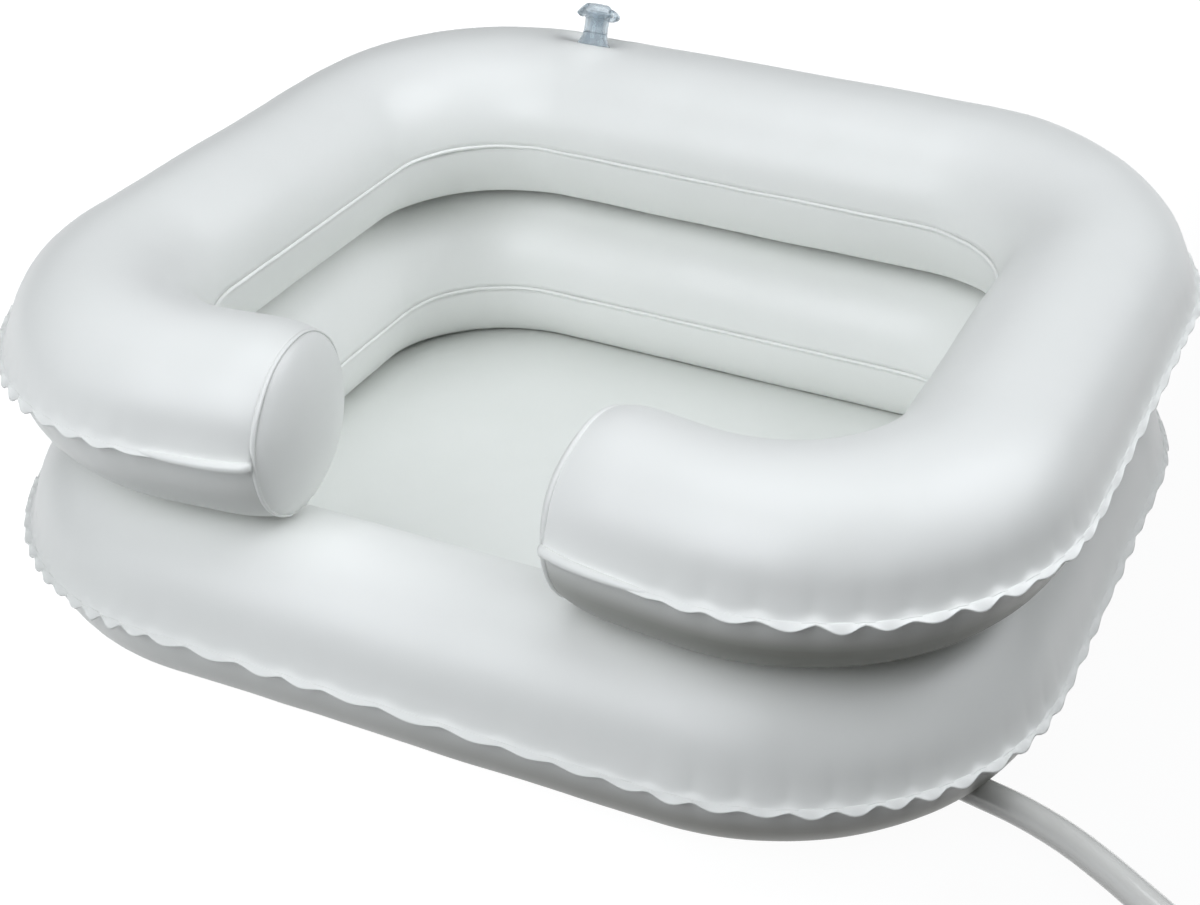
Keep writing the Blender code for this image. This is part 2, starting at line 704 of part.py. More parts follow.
def make_valve_stem(prefix, frame):
    """Push-in stem: a lip inside the ring, a barrel in the flange, a bell-shaped cone, a neck with a bore."""
    low = stem_bottom()
    lip = low + VALVE_LIP_THICKNESS
    lip_radius = VALVE_BARREL_RADIUS + VALVE_LIP_REACH
    chamfer = CLEARANCE
    cone = []
    for step in range(VALVE_CONE_STEPS + 1):
        share = step / VALVE_CONE_STEPS
        radius = VALVE_NECK_RADIUS + (VALVE_BARREL_RADIUS - VALVE_NECK_RADIUS) * (1 - share) ** 2
        cone.append((radius, VALVE_BARREL_RISE + (VALVE_CONE_HEIGHT - VALVE_BARREL_RISE) * share))
    profile = (
        (VALVE_BORE_RADIUS, low), (lip_radius, low), (lip_radius, lip), (VALVE_BARREL_RADIUS, lip), *cone,
        (VALVE_NECK_RADIUS, VALVE_NECK_HEIGHT - chamfer), (VALVE_NECK_RADIUS - chamfer, VALVE_NECK_HEIGHT),
        (VALVE_BORE_RADIUS, VALVE_NECK_HEIGHT),
    )
    stem = turned(prefix + "_valve_stem", profile, VALVE_SIDES)
    stem.parent = frame
    return finish(stem, CLEAR_VINYL, FITTING_ROUGHNESS)


def make_valve_flap(prefix, frame):
    """Check flap under the stem's bore, hinged at its rear edge."""
    radius = VALVE_BORE_RADIUS + FLAP_OVERLAP
    top = stem_bottom() - CLEARANCE
    flap = upright_cylinder(prefix + "_valve_flap", radius, -FLAP_THICKNESS, 0, VALVE_SIDES)
    flap.data.transform(Matrix.Translation((0, -radius, 0)))
    flap.parent = frame
    flap.location = (0, radius, top)
    return finish(flap, CLEAR_VINYL, FITTING_ROUGHNESS)


def make_valve_plug(prefix, frame):
    """Plug: a pin in the bore, a round head and a pull tab."""
    seat = VALVE_NECK_HEIGHT + CLEARANCE
    top = seat + PLUG_HEAD_THICKNESS
    pin = VALVE_BORE_RADIUS - CLEARANCE
    tip = seat - PLUG_PIN_LENGTH
    profile = (
        (0, tip), (pin - CLEARANCE * 2, tip), (pin, tip + PLUG_PIN_LEAD), (pin, seat),
        (PLUG_HEAD_RADIUS, seat), (PLUG_HEAD_RADIUS, top - PLUG_DOME_RISE),
        (PLUG_HEAD_RADIUS - PLUG_DOME_RISE, top), (0, top + PLUG_DOME_RISE / 2),
    )
    plug = turned(prefix + "_valve_plug", profile, VALVE_SIDES)
    plug.parent = frame
    root_x = -PLUG_HEAD_RADIUS / 2
    steps = 4

    def place(column, row):
        share = column / steps
        x = root_x + (-PLUG_TAB_REACH - root_x) * share
        middle = seat + PLUG_HEAD_THICKNESS / 2 - PLUG_TAB_DROOP * share * share
        half = PLUG_TAB_WIDTH / 2 * (1 - (1 - PLUG_TAB_TIP_SHARE) * share * share)
        corners = ((-half, -1), (half, -1), (half, 1), (-half, 1))
        y, up = corners[row % len(corners)]
        return Vector((x, y, middle + up * PLUG_TAB_THICKNESS / 2))

    tab = as_cutter(mapped_grid(prefix + "_valve_tab", steps, 4, place, fill=True))
    tab.parent = frame
    boolean(plug, tab, "UNION")
    return finish(plug, CLEAR_VINYL, FITTING_ROUGHNESS)


def make_valve_strap(prefix, frame):
    """Flexible strap that ties the plug to the neck, bowed out to one side."""
    half_turn = math.pi / STRAP_STEPS
    foot = STRAP_FOOT_HEIGHT
    head = VALVE_NECK_HEIGHT + CLEARANCE + PLUG_HEAD_THICKNESS / 2
    centre_z = (foot + head) / 2
    rise = (head - foot) / 2
    foot_x = VALVE_NECK_RADIUS + CLEARANCE * 2
    head_x = PLUG_HEAD_RADIUS + CLEARANCE * 2

    def place(column, row):
        angle = half_turn * column - math.pi / 2
        share = (math.sin(angle) + 1) / 2
        base = foot_x + (head_x - foot_x) * share
        x = base + (STRAP_REACH - STRAP_THICKNESS - base) * math.cos(angle)
        y = STRAP_WIDTH * (row - 0.5)
        return Vector((x, y, centre_z + rise * math.sin(angle)))

    strap = mapped_grid(prefix + "_valve_strap", STRAP_STEPS, 1, place)
    solidify(strap, STRAP_THICKNESS, 0)
    strap.parent = frame
    return finish(strap, CLEAR_VINYL, FITTING_ROUGHNESS)


def make_valve(prefix, mid, facet, film):
    frame = valve_frame(prefix + "_valve_axis", mid, facet)
    boolean(film, valve_hole(prefix + "_valve_hole", frame), "DIFFERENCE")
    make_valve_flange(prefix, frame)
    make_valve_stem(prefix, frame)
    make_valve_flap(prefix, frame)
    make_valve_plug(prefix, frame)
    make_valve_strap(prefix, frame)


def build():
    clear_scene()
    run = make_hose()
    make_lower_bottom_film(run)
    lower_top = film_half("lower_ring_top_sheet", 0.0, LOWER_MID, 1)
    film_half("upper_ring_bottom_sheet", ARM_SEAM_X, UPPER_MID, -1)
    upper_top = film_half("upper_ring_top_sheet", ARM_SEAM_X, UPPER_MID, 1)
    skirt("lower_outer_weld_skirt", 0.0, LOWER_MID)
    skirt("upper_outer_weld_skirt", ARM_SEAM_X + CAP_BEAD_HALF_WIDTH + CLEARANCE, UPPER_MID)
    inner_bead("lower_inner_weld_bead", 0.0, LOWER_MID)
    inner_bead("upper_inner_weld_bead", ARM_SEAM_X + CAP_BEAD_HALF_WIDTH + CLEARANCE, UPPER_MID)
    for name, side in (("right", 1), ("left", -1)):
        arm_end_cap(name + "_arm_end_cap", side)
        arm_cap_bead(name + "_arm_cap_weld_bead", side)
    make_floor(run)
    make_drain()
    make_stopper()
    make_valve("lower", LOWER_MID, LOWER_VALVE_FACET, lower_top)
    make_valve("upper", UPPER_MID, UPPER_VALVE_FACET, upper_top)


build()
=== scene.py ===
"""Looks of the portable shampoo basin: air-filled film rings, ruffled welds, clear valves, drain and hose.

Metres, +Z up, +X to the right, the neck gap towards -Y. The table is the plane z = 0.
"""

import json
import math

import bmesh
import bpy
from mathutils import Matrix, Vector, noise


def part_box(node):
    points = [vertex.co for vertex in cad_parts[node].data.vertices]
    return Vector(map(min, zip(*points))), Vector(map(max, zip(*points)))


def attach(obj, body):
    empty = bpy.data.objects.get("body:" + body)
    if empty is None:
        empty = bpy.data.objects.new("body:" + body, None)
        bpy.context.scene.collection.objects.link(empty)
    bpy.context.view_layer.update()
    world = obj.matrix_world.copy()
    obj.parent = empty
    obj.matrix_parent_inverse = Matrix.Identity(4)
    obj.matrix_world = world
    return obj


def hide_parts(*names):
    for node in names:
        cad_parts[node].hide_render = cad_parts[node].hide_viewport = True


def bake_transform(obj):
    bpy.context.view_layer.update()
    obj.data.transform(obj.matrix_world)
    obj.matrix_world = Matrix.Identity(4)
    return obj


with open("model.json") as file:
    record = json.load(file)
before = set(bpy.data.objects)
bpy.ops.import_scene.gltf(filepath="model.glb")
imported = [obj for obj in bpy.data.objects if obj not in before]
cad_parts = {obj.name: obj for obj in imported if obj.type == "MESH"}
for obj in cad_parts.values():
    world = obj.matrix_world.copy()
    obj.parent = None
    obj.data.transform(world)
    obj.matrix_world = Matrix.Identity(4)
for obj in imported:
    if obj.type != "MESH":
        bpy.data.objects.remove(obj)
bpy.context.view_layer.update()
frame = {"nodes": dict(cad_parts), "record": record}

# The photograph's camera, solved from the seams: lens, place and framing
SENSOR_WIDTH_MM = 36.0
LENS_MM = 61.65
CAMERA_AZIMUTH = math.radians(22.798)
CAMERA_ELEVATION = math.radians(31.217)
CAMERA_ROLL = math.radians(1.87)
CAMERA_DISTANCE = 1.1622
CAMERA_TARGET = Vector((0.0430, -0.0290, 0.0789))
CAMERA_SHIFT = (-0.0512, -0.0046)

# Plan and height of the rings, read from the frame or repeated from the part
HALF_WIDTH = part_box("lower_ring_bottom_sheet")[1].x
HALF_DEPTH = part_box("lower_ring_bottom_sheet")[1].y
RING_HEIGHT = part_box("lower_ring_top_sheet")[1].z
TUBE_WIDTH = 0.102
OUTER_CORNER_RADIUS = 0.154
INNER_CORNER_RADIUS = 0.073
LOWER_MID = RING_HEIGHT / 2
UPPER_MID = (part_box("upper_outer_weld_skirt")[0].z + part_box("upper_outer_weld_skirt")[1].z) / 2

# Mesh steps along the outer seam, how softly a straight becomes a corner, and steps round half a tube
STATION_STEP = 0.0021
CORNER_BLEND = 0.030
SECTION_STEPS = 46
FLARE_STEPS = 10
MERGE_DISTANCE = 0.00001

# How the air pulls the rings out of true: the upper outer seam to the right and up, the left sides in
UPPER_SEAM_SHIFT = 0.0025
UPPER_SEAM_LIFT = 0.0030
SEAM_LIFT_FALLOFF = 4
LOWER_LEFT_TUCK = 0.0090
UPPER_LEFT_TUCK = 0.0045
LEFT_TUCK_START = 0.10

# The upper ring's back swells out, full above its seam and slim below it, and less at the right corner
BACK_SWELL = 0.0160
BACK_RISE = 0.0012
BACK_START = 0.10
BACK_CORNER_START = 0.16
BACK_CORNER_END = 0.28
BACK_CORNER_CUT = 0.55
BACK_FULLNESS = 0.20
BACK_SLIMNESS = 0.42
BACK_FULL_SPAN = 0.25
BACK_SLIM_SPAN = 0.95
BACK_ONSET = 1 / 3

# The upper ring's arms bend back, down and inward towards the neck gap, and narrow to their end welds
ARM_SEAM_X = 0.0823
ARM_SET_BACK = 0.0138
ARM_LOWERING = 0.0010
ARM_TURN = math.radians(5.5)
ARM_BEND_START = 0.250
ARM_BEND_SHARPNESS = 1.5
ARM_TAPER_LENGTH = 0.035
CAP_HALF_WIDTH = 0.0471
CAP_HALF_HEIGHT = 0.0473

# Domes on the arms' ends: their rise, the puckers at the bottom of their rim, and their unevenness
ARM_DOME_RISE = 0.0142
ARM_DOME_SOFTNESS = 1.38
DOME_RIM_SHARE = 0.40
DOME_PUCKER_START = 0.06
DOME_PUCKER_DEPTH = 0.0012
DOME_PUCKERS = 31
DOME_PUCKER_DRIFT = 1.4
DOME_PUCKER_DRIFTS = 7
DOME_SWELL_SHARE = 0.012
DOME_SWELLS_PER_METRE = 38

# Weld line round an arm's end: how far it reaches and stands proud, and how it wanders and gathers
ARM_WELD_HALF_WIDTH = 0.0015
ARM_WELD_HEIGHT = 0.0008
ARM_WELD_PROUD = 0.0001
ARM_WELD_WANDER = 0.0002
ARM_WELD_WANDERS = 7
ARM_WELD_GATHER = 0.0006
ARM_WELD_GATHERS = 33

# Film, and the flare by which a half tube runs into its outer weld
FILM = 0.0005
WELD_HALF_THICKNESS = 0.0005
FLARE_ANGLE = math.radians(16)
FLARE_REACH = 0.0040
FLARE_END_SHARE = 0.45

# Raised bead along the inner seam
BEAD_RADIUS = 0.0011
BEAD_WIDENING = 1.25
BEAD_PROUD = 0.0001
BEAD_WOBBLE = 0.0004
BEAD_WOBBLES_PER_METRE = 30

# Skirt outside the outer seam: its two edges, nearer to it by an arm's end, its sag, curl and trim
SKIRT_STEPS = 7
SKIRT_INNER = 0.0030
SKIRT_END_INNER = 0.0009
SKIRT_REACH = 0.0064
SKIRT_END_REACH = 0.0038
SKIRT_END_START = 0.006
SKIRT_END_FULL = 0.060
SKIRT_DROOP = 0.0012
SKIRT_LEAN = 0.30
SKIRT_CURL = 1.4
SKIRT_TRIM_ERROR = 0.0008
SKIRT_TRIMS_PER_METRE = 60

# Waves along the skirt: their length, closer on the left, and how far they lift the skirt's edge
CORNER_WAVE = 0.0205
STRAIGHT_WAVE = 0.0260
WAVE_UNEVENNESS = 0.55
WAVE_CHANGES_PER_METRE = 17
LEFT_WAVE_CUT = 0.36
LEFT_WAVE_START = 0.15
LEFT_WAVE_FULL = 0.25
WAVE_ROUNDNESS = 0.4
CORNER_RUFFLE = 0.0019
STRAIGHT_RUFFLE = 0.0012
RUFFLE_UNEVENNESS = 0.6
RUFFLE_CHANGES_PER_METRE = 21
RUFFLE_END_START = 0.040
RUFFLE_END_FULL = 0.085

# The skirt is rolled under beside an arm's end: a cord that starts blunt and runs out
SKIRT_ROLL_RADIUS = 0.0025
SKIRT_ROLL_LENGTH = 0.056
SKIRT_ROLL_SIDES = 12
SKIRT_ROLL_BLUNTNESS = 0.60
SKIRT_ROLL_GROWTH = 12
SKIRT_ROLL_FULLNESS = 2.5
SKIRT_ROLL_TIP = 0.0001
SKIRT_ROLL_STANDOFF = 1.1
SKIRT_ROLL_WIDENING = 1.25
SKIRT_ROLL_SPREAD = 0.6
SKIRT_ROLL_DROP = 0.0004

# The skirt's waves pucker the film beside them, deepest at their crests in the corners
PUCKER_DEPTH = 0.0010
PUCKER_FADE = 0.010
PUCKER_START = 0.003
PUCKER_ALWAYS = 0.25
PUCKER_AT_CREST = 0.5
PUCKER_AT_CORNER_CREST = 0.9
PUCKER_END_START = 0.030
PUCKER_END_FULL = 0.070
RUFFLE_FILM_REACH = 0.006
RUFFLE_FILM_SHARE = 0.25

# Dip of the film along the inner seam, and its slow swells, which are calm beside the welds
SEAM_DIP_DEPTH = 0.0003
SEAM_DIP_FADE = 0.006
SEAM_DIP_START = 0.05
BROAD_SWELL = 0.0007
BROAD_SWELLS_PER_METRE = 16
FINE_SWELL = 0.00018
FINE_SWELLS_PER_METRE = 41
SWELL_START = 0.02
SWELL_TAPER_GAIN = 1.5

# Drain and hose, read from the frame or repeated from the part, with finer steps round the coil
DRAIN = (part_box("drain_body")[0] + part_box("drain_body")[1]) / 2
DRAIN.z = 0.0
DRAIN_CUP_RADIUS = 0.0140
DRAIN_COLLAR_LENGTH = 0.010
CLEARANCE = 0.0003
HOSE_RADIUS = 0.008
HOSE_BORE_RADIUS = 0.006
HOSE_LENGTH = 0.914
HOSE_Z = HOSE_RADIUS + CLEARANCE
HOSE_ROUTE = (
    (0.0688, -0.0142),
    (0.1088, -0.0225),
    (0.1368, -0.0282),
    (0.1608, -0.0337),
    (0.1858, -0.0434),
    (0.2088, -0.0564),
    (0.2308, -0.0709),
    (0.2618, -0.0914),
    (0.2928, -0.1119),
)
COIL_RADIUS = 0.092
COIL_PITCH = 0.0205
COIL_STEPS_PER_TURN = 72
HOSE_SIDES = 40
HOSE_SHARP_ANGLE = math.radians(50)

# Floor film: its height, its rim under the ring, the pad round the drain, and its slow sags
FLOOR_HEIGHT = 0.005
FLOOR_RIM_SHARE = 0.285
FLOOR_SPOKES = 300
FLOOR_RINGS = 70
FLOOR_CROWDING = 1.25
PAD_TOP = 0.0174
PAD_TOP_RADIUS = 0.026
PAD_FOOT_RADIUS = 0.056
FLOOR_SAG = 0.0009
FLOOR_SAGS_PER_METRE = 9
FLOOR_RIPPLE = 0.0003
FLOOR_RIPPLES_PER_METRE = 27
SAG_START_RADIUS = 0.05
SAG_FULL_RADIUS = 0.10
SAG_RIM_SHARE = 1 / 8

# Film lies over the hose like a tent, and the lower ring is pressed flat where it rests
TENT_HALF_WIDTH = 0.006
TENT_FOOT = 0.017
TENT_END_RADIUS = 0.09
RESTING_FLAT = 0.0008

# Air valve, in the frame of its push joint: Z along the joint's axis, the film at height 0
VALVE_SIDES = 64
VALVE_SHARP_ANGLE = math.radians(35)
VALVE_FLANGE_RADIUS = 0.0140
VALVE_FLANGE_RISE = 0.0006
VALVE_FLANGE_DEPTH = 0.0022
VALVE_FLANGE_CHAMFER = 0.0008
VALVE_HOLE_RADIUS = 0.0116
VALVE_BARREL_RADIUS = 0.0110
VALVE_LIP_RADIUS = 0.0125
VALVE_LIP_THICKNESS = 0.0015
VALVE_LIP_UNDERSIDE = -VALVE_FLANGE_DEPTH - CLEARANCE - VALVE_LIP_THICKNESS
VALVE_NECK_RADIUS = 0.0080
VALVE_NECK_HEIGHT = 0.0216
VALVE_CONE_HEIGHT = 0.0110
VALVE_BORE_RADIUS = 0.0045
VALVE_EDGE = 0.0004

# The film is drawn flat over the valve's flange
FLAT_FILM_RISE = 0.0003
FLAT_FILM_SPAN = 0.018
FLAT_FILM_RADIUS = 0.034
FLAT_FILM_HEIGHT = 0.02

# The valve's bell: its flare, its wall, and the collar round its neck
BELL_STEPS = 14
BELL_FLARE = 2.1
BELL_START = 0.0011
BELL_WALL = 0.0018
BELL_WALL_DROP = 0.0006
BELL_LINING_END = 3
BELL_ROOF = 0.0015
COLLAR_BOTTOM = 0.0175
COLLAR_TOP = 0.0195
COLLAR_RISE = 0.0005

# The check flap under the bell's bore
FLAP_OVERLAP = 0.0012
FLAP_THICKNESS = 0.0006
FLAP_EDGE = 0.0002

# The mushroom plug on the neck; its head's outline is given as steps in from its radius and up from its seat
PLUG_SEAT = VALVE_NECK_HEIGHT + CLEARANCE
PLUG_PIN_LENGTH = 0.009
PLUG_PIN_LEAD = 0.0018
PLUG_PIN_TAPER = 0.0006
PLUG_HEAD_RADIUS = 0.0099
PLUG_HEAD_TOP = 0.0058
PLUG_RIM_DEPTH = 0.0020
PLUG_RIM_GAP = 0.0006
PLUG_RIM_DRAFT = 0.0002
PLUG_HEAD_OUTLINE = (
    (0.0003, -PLUG_RIM_DEPTH),
    (0.0, -0.0012),
    (0.0003, 0.0010),
    (0.0012, 0.0030),
    (0.0023, 0.0044),
    (0.0038, 0.0055),
    (0.0056, PLUG_HEAD_TOP),
)

# The plug's pull tab: where it starts, how it runs and droops, and its size
TAB_STEPS = 12
TAB_START = Vector((-0.0060, 0, PLUG_SEAT + 0.0034))
TAB_REACH = 0.0066
TAB_DROOP = 0.0062
TAB_BEND = 1.4
TAB_HALF_WIDTH = 0.0054
TAB_NARROWING = 0.0012
TAB_HALF_THICKNESS = 0.0023

# The tie from the collar to the plug's head, bowed outward
TIE_STEPS = 20
TIE_FOOT = Vector((VALVE_NECK_RADIUS + 0.0006, 0, 0.0185))
TIE_HEAD = Vector((PLUG_HEAD_RADIUS - 0.0014, 0, PLUG_SEAT + 0.0022))
TIE_BOW = Vector((0.0050, 0, -0.0008))
TIE_BOW_FULLNESS = 0.7
TIE_HALF_WIDTH = 0.0034
TIE_HALF_THICKNESS = 0.0015
BAND_SIDES = 12
BAND_WIDTH_SQUARENESS = 0.6
BAND_EDGE_SQUARENESS = 0.8

# Surface pattern scales, in millimetres on the real object
FILM_GRAIN_MM = 1.6
FILM_WAVINESS_MM = 45.0
VALVE_CLOUD_MM = 4.0
HOSE_UNEVENNESS_MM = 30.0
MOULD_GRAIN_MM = 0.8

# How much glossier and duller than its usual roughness the film is from place to place
FILM_GLOSSIER = 0.05
FILM_DULLER = 0.07

# Painted shade on the rings' undersides, on the tube's outer half: a darker, slightly olive colour, towards
# the right only
PAINT_LAYER = "painted_underside_shade"
PAINTED_UNDERSIDE_SHADE = "7A7B71"
SHADE_PAINT_SPAN = 0.20
PAINT_EDGE = 0.02
PAINT_START_DEPTH = 0.004
PAINT_FULL_DEPTH = 0.024

# Table: its reach, its hair's breadth below the part, its white, and the grey that its bounced light has
TABLE_SIZE = 6.0
TABLE_GAP = 0.0002
TABLE_WHITE = 0.96
TABLE_BOUNCE_LEFT = "A0A2A2"
TABLE_BOUNCE_RIGHT = "222426"
TABLE_BOUNCE_SPAN = 0.28

# Square lamps, equally far away: name, degrees from the front towards the right, degrees up, watts
LAMPS = (
    ("overhead_softbox", 0, 90, 11.5),
    ("front_softbox", -8, 45, 24.0),
    ("right_back_softbox", 122, 45, 21.0),
    ("left_low_softbox", -45, 15, 5.0),
)
LAMP_WHITE = "F8FBFF"
LAMP_SIZE = 1.5
LAMP_DISTANCE = 2.2
LAMP_AIM = Vector((0, 0, 0.1))

# How much the white surround lights the object
SURROUND_LIGHT = 0.04


def linear(hex_color):
    """An sRGB hex colour as linear RGBA."""
    channels = [int(hex_color[i:i + 2], 16) / 255 for i in (0, 2, 4)]
    return tuple(c / 12.92 if c <= 0.04045 else ((c + 0.055) / 1.055) ** 2.4 for c in channels) + (1.0,)


def ramp(value, start=0.0, full=1.0):
    """0 up to the start, 1 from the full value on, and a smooth rise between them."""
    share = min(1.0, max(0.0, (value - start) / (full - start)))
    return share * share * (3 - 2 * share)


def mix(first, second, share):
    return first + (second - first) * share


def signed_power(value, exponent):
    return math.copysign(abs(value) ** exponent, value)


def unevenness(point, per_metre, seed=0.0):
    """A fixed pattern of soft changes from place to place, between about -1 and 1."""
    return noise.noise(point * per_metre + Vector((0, 0, seed)))


def level_way(start, end):
    """Level direction from one point to another."""
    return (end - start).to_2d().normalized().to_3d()


def add_node(tree, kind, settings=None, links=None):
    """Add a node: a setting's or link's key is an input's name or number, or else a property of the node."""
    node = tree.nodes.new(kind)
    for key, value in (settings or {}).items():
        if isinstance(key, int) or key in node.inputs:
            node.inputs[key].default_value = value
        else:
            setattr(node, key, value)
    for key, source in (links or {}).items():
        tree.links.new(source, node.inputs[key])
    return node


def new_material(name):
    material = bpy.data.materials.new(name)
    material.use_nodes = True
    tree = material.node_tree
    return material, tree, tree.nodes["Principled BSDF"]


def vinyl_film(name, light, dark, roughness):
    """Calendered PVC film: satin, faintly grained, slightly uneven where air pulls it, with painted shade
    under the rings towards the right.
    """
    material, tree, shader = new_material(name)
    place = add_node(tree, "ShaderNodeTexCoord").outputs["Object"]
    cloud = add_node(
        tree, "ShaderNodeTexNoise", {"Scale": 1000 / FILM_WAVINESS_MM, "Detail": 3.0}, {"Vector": place}
    ).outputs["Fac"]
    grain = add_node(
        tree, "ShaderNodeTexNoise", {"Scale": 1000 / FILM_GRAIN_MM, "Detail": 2.0}, {"Vector": place}
    ).outputs["Fac"]
    tint = add_node(
        tree, "ShaderNodeMix", {"data_type": "RGBA", 6: linear(light), 7: linear(dark)}, {0: cloud}
    )
    across = add_node(tree, "ShaderNodeSeparateXYZ", None, {0: place}).outputs["X"]
    to_right = add_node(
        tree, "ShaderNodeMapRange", {"From Min": -SHADE_PAINT_SPAN, "From Max": SHADE_PAINT_SPAN}, {"Value": across}
    )
    # Painted shade: the bottom films' painted share, stronger towards the right, darkens the colour towards a
    # slightly olive grey
    painted_underside_shade = add_node(tree, "ShaderNodeAttribute", {"attribute_name": PAINT_LAYER}).outputs["Fac"]
    painted_shade_share = add_node(
        tree, "ShaderNodeMath", {"operation": "MULTIPLY"}, {0: painted_underside_shade, 1: to_right.outputs["Result"]}
    )
    color = add_node(
        tree, "ShaderNodeMix", {"data_type": "RGBA", 7: linear(PAINTED_UNDERSIDE_SHADE)},
        {0: painted_shade_share.outputs[0], 6: tint.outputs[2]},
    )
    gloss = add_node(
        tree, "ShaderNodeMapRange", {"To Min": roughness - FILM_GLOSSIER, "To Max": roughness + FILM_DULLER},
        {"Value": cloud},
    )
    fine = add_node(tree, "ShaderNodeBump", {"Strength": 0.12, "Distance": 0.0002}, {"Height": grain})
    broad = add_node(
        tree, "ShaderNodeBump", {"Strength": 0.25, "Distance": 0.0012},
        {"Height": cloud, "Normal": fine.outputs["Normal"]},
    )
    tree.links.new(color.outputs[2], shader.inputs["Base Color"])
    tree.links.new(gloss.outputs["Result"], shader.inputs["Roughness"])
    tree.links.new(broad.outputs["Normal"], shader.inputs["Normal"])
    shader.inputs["IOR"].default_value = 1.53
    shader.inputs["Coat Weight"].default_value = 0.10
    shader.inputs["Coat Roughness"].default_value = 0.30
    return material


def clear_vinyl():
    """Moulded soft vinyl: bluish, half clear, glossy, cloudy where it is thick."""
    material, tree, shader = new_material("moulded_clear_vinyl")
    place = add_node(tree, "ShaderNodeTexCoord").outputs["Object"]
    cloud = add_node(
        tree, "ShaderNodeTexNoise", {"Scale": 1000 / VALVE_CLOUD_MM, "Detail": 2.0}, {"Vector": place}
    ).outputs["Fac"]
    tint = add_node(
        tree, "ShaderNodeMix", {"data_type": "RGBA", 6: linear("E2EAEF"), 7: linear("CDD9E0")}, {0: cloud}
    )
    bump = add_node(tree, "ShaderNodeBump", {"Strength": 0.2, "Distance": 0.0003}, {"Height": cloud})
    tree.links.new(tint.outputs[2], shader.inputs["Base Color"])
    tree.links.new(bump.outputs["Normal"], shader.inputs["Normal"])
    shader.inputs["Roughness"].default_value = 0.10
    shader.inputs["IOR"].default_value = 1.38
    shader.inputs["Transmission Weight"].default_value = 0.72
    return material


def hose_vinyl():
    """Extruded soft vinyl tube: off-white and glossy, with a slow unevenness left by the die."""
    material, tree, shader = new_material("extruded_hose_vinyl")
    place = add_node(tree, "ShaderNodeTexCoord").outputs["Object"]
    cloud = add_node(
        tree, "ShaderNodeTexNoise", {"Scale": 1000 / HOSE_UNEVENNESS_MM, "Detail": 3.0}, {"Vector": place}
    ).outputs["Fac"]
    tint = add_node(
        tree, "ShaderNodeMix", {"data_type": "RGBA", 6: linear("E2E2DF"), 7: linear("D6D6D2")}, {0: cloud}
    )
    bump = add_node(tree, "ShaderNodeBump", {"Strength": 0.15, "Distance": 0.0006}, {"Height": cloud})
    tree.links.new(tint.outputs[2], shader.inputs["Base Color"])
    tree.links.new(bump.outputs["Normal"], shader.inputs["Normal"])
    shader.inputs["Roughness"].default_value = 0.16
    shader.inputs["IOR"].default_value = 1.53
    shader.inputs["Coat Weight"].default_value = 0.8
    shader.inputs["Coat Roughness"].default_value = 0.05
    return material


def moulded_white():
    """Injection-moulded white plastic: smooth, semi-gloss, with a very fine mould texture."""
    material, tree, shader = new_material("moulded_white_plastic")
    place = add_node(tree, "ShaderNodeTexCoord").outputs["Object"]
    grain = add_node(
        tree, "ShaderNodeTexNoise", {"Scale": 1000 / MOULD_GRAIN_MM, "Detail": 2.0}, {"Vector": place}
    ).outputs["Fac"]
    bump = add_node(tree, "ShaderNodeBump", {"Strength": 0.1, "Distance": 0.0001}, {"Height": grain})
    tree.links.new(bump.outputs["Normal"], shader.inputs["Normal"])
    shader.inputs["Base Color"].default_value = linear("E2E4E4")
    shader.inputs["Roughness"].default_value = 0.30
    return material


def object_from(bm, name, material=None):
    """Turn a bmesh into an object of the scene."""
    data = bpy.data.meshes.new(name)
    bm.to_mesh(data)
    bm.free()
    if material:
        data.materials.append(material)
    obj = bpy.data.objects.new(name, data)
    bpy.context.scene.collection.objects.link(obj)
    return obj


def mapped_grid(name, along, across, place, material, fill=False, paint=None):
    """A grid with corner (i, j) moved to place(i, j) and painted paint(i, j). Corners that meet merge."""
    bm = bmesh.new()
    bmesh.ops.create_grid(bm, x_segments=along, y_segments=across, size=1)
    layer = bm.verts.layers.float.new(PAINT_LAYER) if paint else None
    for vert in bm.verts:
        column, row = round((vert.co.x + 1) / 2 * along), round((vert.co.y + 1) / 2 * across)
        vert.co = place(column, row)
        if paint:
            vert[layer] = paint(column, row)
    bmesh.ops.remove_doubles(bm, verts=bm.verts, dist=MERGE_DISTANCE)
    if fill:
        bmesh.ops.holes_fill(bm, edges=[edge for edge in bm.edges if edge.is_boundary], sides=0)
    if not any(edge.is_boundary for edge in bm.edges):
        bmesh.ops.recalc_face_normals(bm, faces=bm.faces)
    obj = object_from(bm, name, material)
    obj.data.shade_smooth()
    return obj


def solidify(obj, thickness, offset):
    modifier = obj.modifiers.new("Thickness", "SOLIDIFY")
    modifier.thickness = thickness
    modifier.offset = offset
    return obj


def settle(obj, body, slot, *nodes):
    """Ride on the body and stand for the CAD nodes. The slot is not used."""
    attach(obj, body)
    if nodes:
        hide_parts(*nodes)
    return obj


